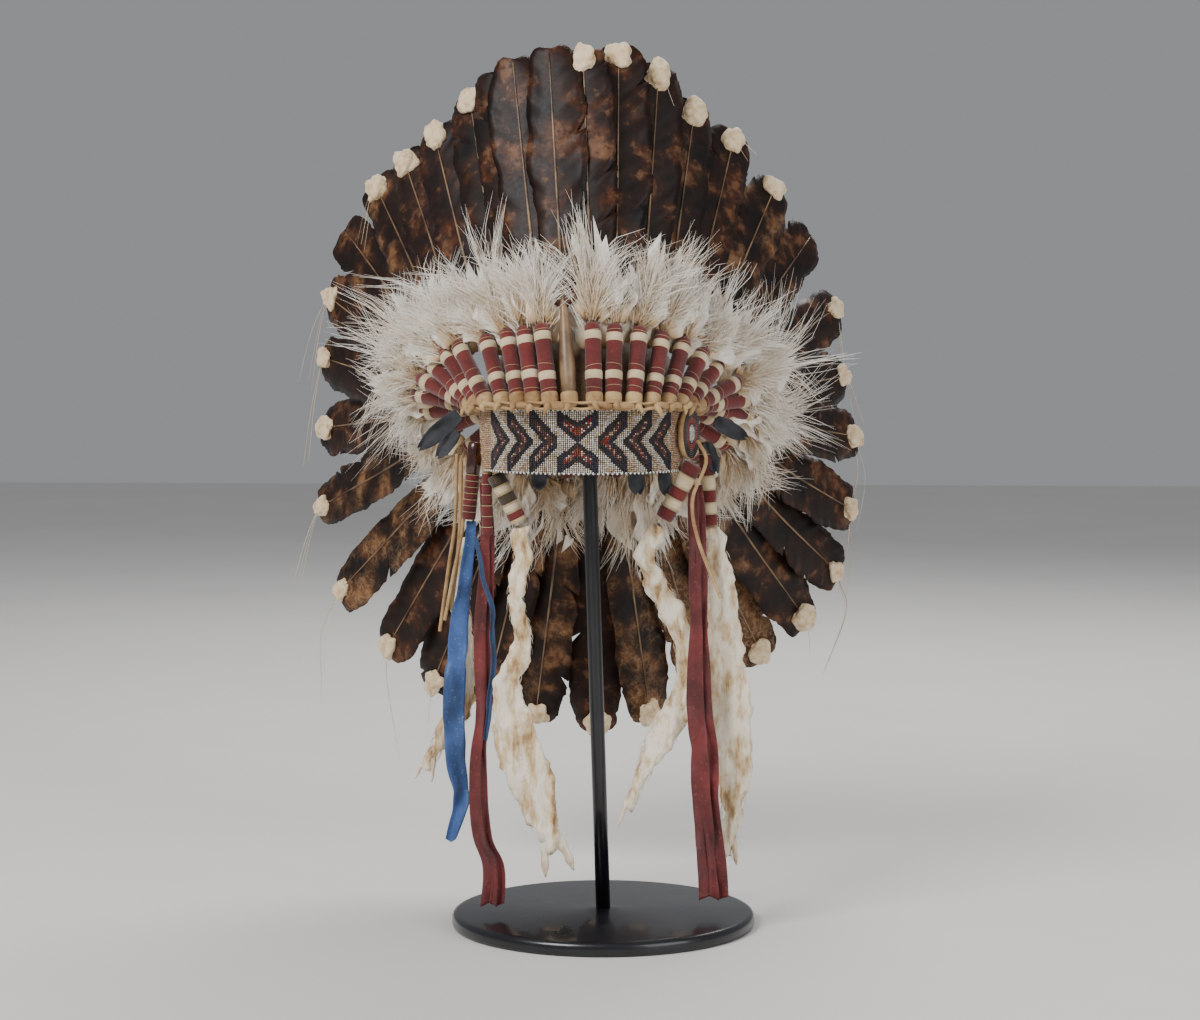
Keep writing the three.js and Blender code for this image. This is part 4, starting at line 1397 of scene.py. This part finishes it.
def make_stand(sizes):
    """A black lacquered disc, a slim post and a small round rest under the cap."""
    low, high = (Vector(c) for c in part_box("stand"))
    radius = (high.x - low.x) / 2
    top = Vector((BROW.x, BROW.y, high.z))
    profile = [
        (0, 0.0), (radius - 3 * MM, 0.0), (radius - 0.6 * MM, 0.8 * MM), (radius, 2.6 * MM), (radius, 8 * MM),
        (radius - 1.5 * MM, 10.8 * MM), (radius - 5 * MM, 12 * MM), (18 * MM, 12 * MM), (12 * MM, 13.4 * MM),
        (0, 14 * MM),
    ]
    bm = bmesh.new()
    verts = [bm.verts.new((r, 0, z)) for r, z in profile]
    edges = [bm.edges.new(pair) for pair in zip(verts, verts[1:])]
    bmesh.ops.spin(
        bm, geom=verts + edges, cent=(0, 0, 0), axis=(0, 0, 1), angle=math.tau, steps=96, use_merge=True,
    )
    bmesh.ops.remove_doubles(bm, verts=bm.verts, dist=1e-5)
    bmesh.ops.recalc_face_normals(bm, faces=bm.faces)
    foot = Vector((0, 0, 12 * MM))
    tube(bm, [foot.lerp(top, t) for t in (0, 0.25, 0.5, 0.75, 0.985)], [sizes.post_radius] * 5, 28)
    ring = [top + Vector((0, 0, z * MM)) for z in (-10, -9.4, -8, -3, -1, 0)]
    tube(bm, ring, [r * MM for r in (20, 24.5, 26, 26, 24.5, 20)], 48)
    settle(bm, "stand_turned", ["stand_black"], ["stand"])


# ---------------------------------------------------------------- settings


def metres(name, description, default):
    return FloatProperty(name=name, description=description, default=default, min=0, unit="LENGTH")


class FeatherSizes(bpy.types.PropertyGroup):
    """Sizes of the feathers and their sleeves"""

    wrap_foot: metres("Sleeve foot", "How far from the lacing the red cloth sleeve begins", 0.001)
    wrap_length: metres("Sleeve end", "How far from the lacing the red cloth sleeve ends", 0.061)
    vane_start: metres("Vane start", "How far from the lacing the barbs begin", 0.070)
    tuft_width: metres("Tuft width", "Breadth of the cream tuft at a feather's end", 0.0215)
    tuft_length: metres("Tuft length", "Length of the cream tuft at a feather's end", 0.026)


class DownSizes(bpy.types.PropertyGroup):
    """Sizes of the down"""

    plume_length: metres("Plume length", "Length of a fluffy plume at a feather's foot", 0.096)
    plume_breadth: metres("Barb length", "Length of the longest barbs of a plume", 0.021)
    barbs: IntProperty(name="Barbs", description="Barbs in each wisp of a plume", default=24, min=4, max=80)


class BandSizes(bpy.types.PropertyGroup):
    """Sizes of the beadwork"""

    bead_pitch: metres("Bead pitch", "Distance from column to column of beads", 0.0017)
    bead_rise: metres("Bead rise", "Distance from row to row of beads", 0.0015)


class StandSizes(bpy.types.PropertyGroup):
    """The stand, the floor and the light"""

    post_radius: metres("Post radius", "Radius of the stand's post", 0.006)
    floor_size: metres("Floor size", "Side of the plain floor", 12.0)
    light: FloatProperty(name="Light", description="Strength of the soft key light", default=85.0, min=0)
    sky: FloatVectorProperty(
        name="Surroundings", description="Colour of the even light around the object", subtype="COLOR",
        size=3,
        default=srgb(214, 216, 220), min=0, max=1,
    )


def sizes_of(context, group):
    return getattr(context.scene, "headdress_" + group)


# ---------------------------------------------------------------- operators


# The camera: degrees round and above, lens in mm, the point that it looks at and how far off it stands, in m.
CAMERA_TURN, CAMERA_TILT, CAMERA_LENS, CAMERA_DISTANCE = 3, 4, 84.08, 2.2
CAMERA_AIM = (17.56, -99.22, -79.46)


class HEADDRESS_OT_stage(bpy.types.Operator):
    """Lays the pale floor and sets the soft light and the camera"""

    bl_idname = "headdress.stage"
    bl_label = "Stage"

    def execute(self, context):
        sizes = sizes_of(context, "stand")
        bm = bmesh.new()
        bmesh.ops.create_grid(bm, x_segments=8, y_segments=8, size=sizes.floor_size / 2)
        mesh = bpy.data.meshes.new("floor")
        bm.to_mesh(mesh)
        bm.free()
        floor = bpy.data.objects.new("floor", mesh)
        context.scene.collection.objects.link(floor)
        mesh.materials.append(finish("floor"))

        world = bpy.data.worlds.new("surroundings")
        world.use_nodes = True
        back = world.node_tree.nodes["Background"]
        back.inputs["Color"].default_value = (*sizes.sky, 1)
        back.inputs["Strength"].default_value = 0.42
        context.scene.world = world

        middle = Vector((0, 0, 0.38))
        for name, place, side, power in (
            ("key", (-1.5, -1.9, 2.3), 1.3, sizes.light), ("fill", (1.9, -1.5, 1.2), 1.6, sizes.light * 0.3),
            ("rim", (0.4, 1.9, 2.2), 1.2, sizes.light * 0.5),
        ):
            lamp = bpy.data.lights.new(name, "AREA")
            lamp.size, lamp.energy = side, power
            light = bpy.data.objects.new(name, lamp)
            light.location = place
            light.rotation_euler = (middle - Vector(place)).to_track_quat("-Z", "Y").to_euler()
            context.scene.collection.objects.link(light)

        turn, tilt = math.radians(CAMERA_TURN), math.radians(CAMERA_TILT)
        back = Vector((math.sin(turn) * math.cos(tilt), -math.cos(turn) * math.cos(tilt), math.sin(tilt)))
        lens = bpy.data.cameras.new("camera")
        lens.sensor_width, lens.lens, lens.clip_start = 36.0, CAMERA_LENS, 0.05
        camera = bpy.data.objects.new("camera", lens)
        camera.location = brow(*CAMERA_AIM) + back * CAMERA_DISTANCE
        camera.rotation_euler = (-back).to_track_quat("-Z", "Y").to_euler()
        context.scene.collection.objects.link(camera)
        context.scene.camera = camera
        return {"FINISHED"}


class HEADDRESS_OT_thongs(bpy.types.Operator):
    """Hangs the buckskin thongs at both temples"""

    bl_idname = "headdress.thongs"
    bl_label = "Thongs"

    def execute(self, context):
        make_thongs()
        return {"FINISHED"}


class HEADDRESS_OT_feathers(bpy.types.Operator):
    """Makes each feather's vane, cloth sleeve and cream tuft"""

    bl_idname = "headdress.feathers"
    bl_label = "Feathers"

    def execute(self, context):
        sizes = sizes_of(context, "feathers")
        for node in FEATHERS:
            quill = quill_of(node)
            make_vane(quill, sizes)
            make_wrap(quill, sizes)
            make_tip(quill, sizes)
        return {"FINISHED"}


# How much longer the plumes at the sides are than those at the top.
SIDE_PLUMES = 0.25


class HEADDRESS_OT_down(bpy.types.Operator):
    """Fluffs the white plumes at the feathers' feet, a piece for each stretch of the ring"""

    bl_idname = "headdress.down"
    bl_label = "Down"

    def execute(self, context):
        sizes = sizes_of(context, "down")
        lines = {node: [] for node in DOWN}
        cores = {node: bmesh.new() for node in DOWN}
        middles = {node: (Vector(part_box(node)[0]) + Vector(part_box(node)[1])) / 2 for node in DOWN}
        for bm in cores.values():
            bm.verts.layers.float.new("tone")
        for node in FEATHERS:
            quill = quill_of(node)
            rng = random.Random(node + "down")
            spot = quill.at(0.115)
            home = min(middles, key=lambda n: (middles[n] - spot).length)
            low = quill.ahead.z < -0.15
            if quill.name == "centre":
                continue
            # In front, at the side and behind: place, stand-off, relative length and lean of each plume.
            for s, off, reach, fan in (
                (rng.uniform(0.060, 0.066), 2.5, rng.uniform(0.78, 1.3), rng.uniform(-0.13, 0.13)),
                (
                    rng.uniform(0.059, 0.066), 0.5, rng.uniform(0.45, 0.85),
                    rng.choice((-1, 1)) * rng.uniform(0.18, 0.42),
                ),
                (rng.uniform(0.040, 0.050), -8.0, rng.uniform(0.6, 0.9), rng.uniform(-0.15, 0.15)),
            ):
                way, front = quill.way(s), quill.front(s)
                over = way.cross(front)
                ahead = (
                    way * math.cos(fan) + over * math.sin(fan) + front * rng.uniform(0.0, 0.1)
                ).normalized()
                root = quill.at(s) + front * off * MM
                long = sizes.plume_length * reach * (
                    0.9 if low else 1.0 + SIDE_PLUMES * min(1.0, (2 * quill.ahead.x) ** 2)
                )
                wide = sizes.plume_breadth * rng.uniform(0.9, 1.35)
                pale = rng.uniform(0.5, 0.85) if low else rng.uniform(0.8, 1.1)
                plume(lines[home], rng, root, ahead, front, long, wide, sizes.barbs, pale)
                plume_core(cores[home], rng, root, ahead, front, long, wide, pale)
        for node in DOWN:
            strands(node + "_barbs", lines[node], "down", [node])
            core = settle(cores[node], node + "_cores", ["down"])
            thicken(core, 0.4 * MM)
        return {"FINISHED"}


class HEADDRESS_OT_hair(bpy.types.Operator):
    """Adds the long horsehair that trails from the feathers' ends"""

    bl_idname = "headdress.hair"
    bl_label = "Horsehair"

    def execute(self, context):
        rng, lines = random.Random(3), []
        for name, middle, end, count in HAIR:
            quill = quill_of("feather_" + name)
            root = quill.at(quill.length - 0.008)
            for _ in range(count):
                loose = Vector((rng.uniform(-1, 1), rng.uniform(-1, 1), rng.uniform(-1, 1))) * 4 * MM
                b = root + Vector((middle[0], rng.uniform(-6, 2), middle[1])) * MM + loose
                c = root + Vector((end[0], rng.uniform(-8, 4), end[1])) * MM + loose * 1.6
                line = line_through(
                    [root + loose * 0.4, root.lerp(b, 0.4) + Vector((0, 0, 3 * MM)), b, c], 18,
                )
                thick = rng.uniform(0.16, 0.26) * MM
                lines.append((line, spread([thick, thick, thick * 0.5], 18), [rng.uniform(0.15, 0.75)] * 18))
        strands("horsehair", lines, "down")
        return {"FINISHED"}


# Horsehair: its feather, how far its middle and its end are aside and up in mm, and how many hairs.
HAIR = [
    ("left_6", (-8, -22), (-14, -53), 3),
    ("left_8", (-13, -36), (-21.5, -78), 3),
    ("left_9", (-12, -50), (-19.5, -99), 3),
    ("left_11", (-11, -30), (-19, -63), 3),
    ("back_left_5", (-14, -43), (-12.5, -102), 3),
    ("back_left_4", (0, -30), (11, -97), 2),
    ("back_left_3", (0.5, -24), (1.5, -47), 2),
    ("right_3", (5, -14), (10, -31), 2),
    ("right_5", (7.5, -9), (15.5, -20), 2),
    ("right_8", (5, -26), (8.5, -51), 3),
    ("right_9", (6.5, -18), (12, -39), 3),
    ("right_10", (6, -39), (-3.5, -86), 3),
    ("right_11", (-2, -38), (-8, -75), 3),
    ("right_12", (10.5, -35), (-8, -89), 3),
    ("back_right_4", (4, -18), (6, -37), 2),
]


class HEADDRESS_OT_cap(bpy.types.Operator):
    """Makes the felt cap, the hide backing's finish, the hide tabs and the lacing"""

    bl_idname = "headdress.cap"
    bl_label = "Cap and hide"

    def execute(self, context):
        make_cap()
        make_tabs()
        make_lacing([quill_of(node) for node in FEATHERS])
        # The brow band under the beads takes the dark cloth finish, painted shade in the gaps between the
        # beads; the hide backing takes buckskin.
        for node, name in (("hide_backing", "buckskin"), ("brow_band", "wrap_dark")):
            slots = NODES[node].data.materials
            for k in range(len(slots)):
                slots[k] = finish(name)
        return {"FINISHED"}


class HEADDRESS_OT_band(bpy.types.Operator):
    """Lays the brow band's beads and its edging"""

    bl_idname = "headdress.band"
    bl_label = "Beaded band"

    def execute(self, context):
        make_band(sizes_of(context, "band"))
        return {"FINISHED"}


class HEADDRESS_OT_rosette(bpy.types.Operator):
    """Makes the beaded rosette at the right temple"""

    bl_idname = "headdress.rosette"
    bl_label = "Rosette"

    def execute(self, context):
        make_rosette()
        return {"FINISHED"}


class HEADDRESS_OT_rods(bpy.types.Operator):
    """Wraps the rods that hang at the temples"""

    bl_idname = "headdress.rods"
    bl_label = "Wrapped rods"

    def execute(self, context):
        make_rods()
        return {"FINISHED"}


class HEADDRESS_OT_skins(bpy.types.Operator):
    """Hangs the ermine skins"""

    bl_idname = "headdress.skins"
    bl_label = "Ermine skins"

    def execute(self, context):
        make_skins()
        return {"FINISHED"}


class HEADDRESS_OT_ribbons(bpy.types.Operator):
    """Hangs the satin ribbons"""

    bl_idname = "headdress.ribbons"
    bl_label = "Ribbons"

    def execute(self, context):
        make_ribbons()
        return {"FINISHED"}


class HEADDRESS_OT_stand(bpy.types.Operator):
    """Turns the black stand"""

    bl_idname = "headdress.stand"
    bl_label = "Stand"

    def execute(self, context):
        make_stand(sizes_of(context, "stand"))
        return {"FINISHED"}


STEPS = (
    HEADDRESS_OT_stage, HEADDRESS_OT_thongs, HEADDRESS_OT_feathers, HEADDRESS_OT_down, HEADDRESS_OT_hair,
    HEADDRESS_OT_cap, HEADDRESS_OT_band, HEADDRESS_OT_rosette, HEADDRESS_OT_rods, HEADDRESS_OT_skins,
    HEADDRESS_OT_ribbons, HEADDRESS_OT_stand,
)
GROUPS = {"feathers": FeatherSizes, "down": DownSizes, "band": BandSizes, "stand": StandSizes}


class HEADDRESS_PT_panel(bpy.types.Panel):
    """Lists the headdress's sizes and the operators that make its pieces"""

    bl_label = "Feathered headdress"
    bl_idname = "HEADDRESS_PT_panel"
    bl_space_type = "VIEW_3D"
    bl_region_type = "UI"
    bl_category = "Headdress"

    def draw(self, context):
        for group, kind in GROUPS.items():
            box = self.layout.box()
            for name in kind.__annotations__:
                box.prop(sizes_of(context, group), name)
        for step in STEPS:
            self.layout.operator(step.bl_idname)


def register():
    for each in (*GROUPS.values(), *STEPS, HEADDRESS_PT_panel):
        bpy.utils.register_class(each)
    for group, kind in GROUPS.items():
        setattr(bpy.types.Scene, "headdress_" + group, PointerProperty(type=kind))


def unregister():
    for group in GROUPS:
        delattr(bpy.types.Scene, "headdress_" + group)
    for each in reversed((*GROUPS.values(), *STEPS, HEADDRESS_PT_panel)):
        bpy.utils.unregister_class(each)


def main():
    register()
    for step in STEPS:
        family, name = step.bl_idname.split(".")
        getattr(getattr(bpy.ops, family), name)()


if __name__ == "__main__":
    main()
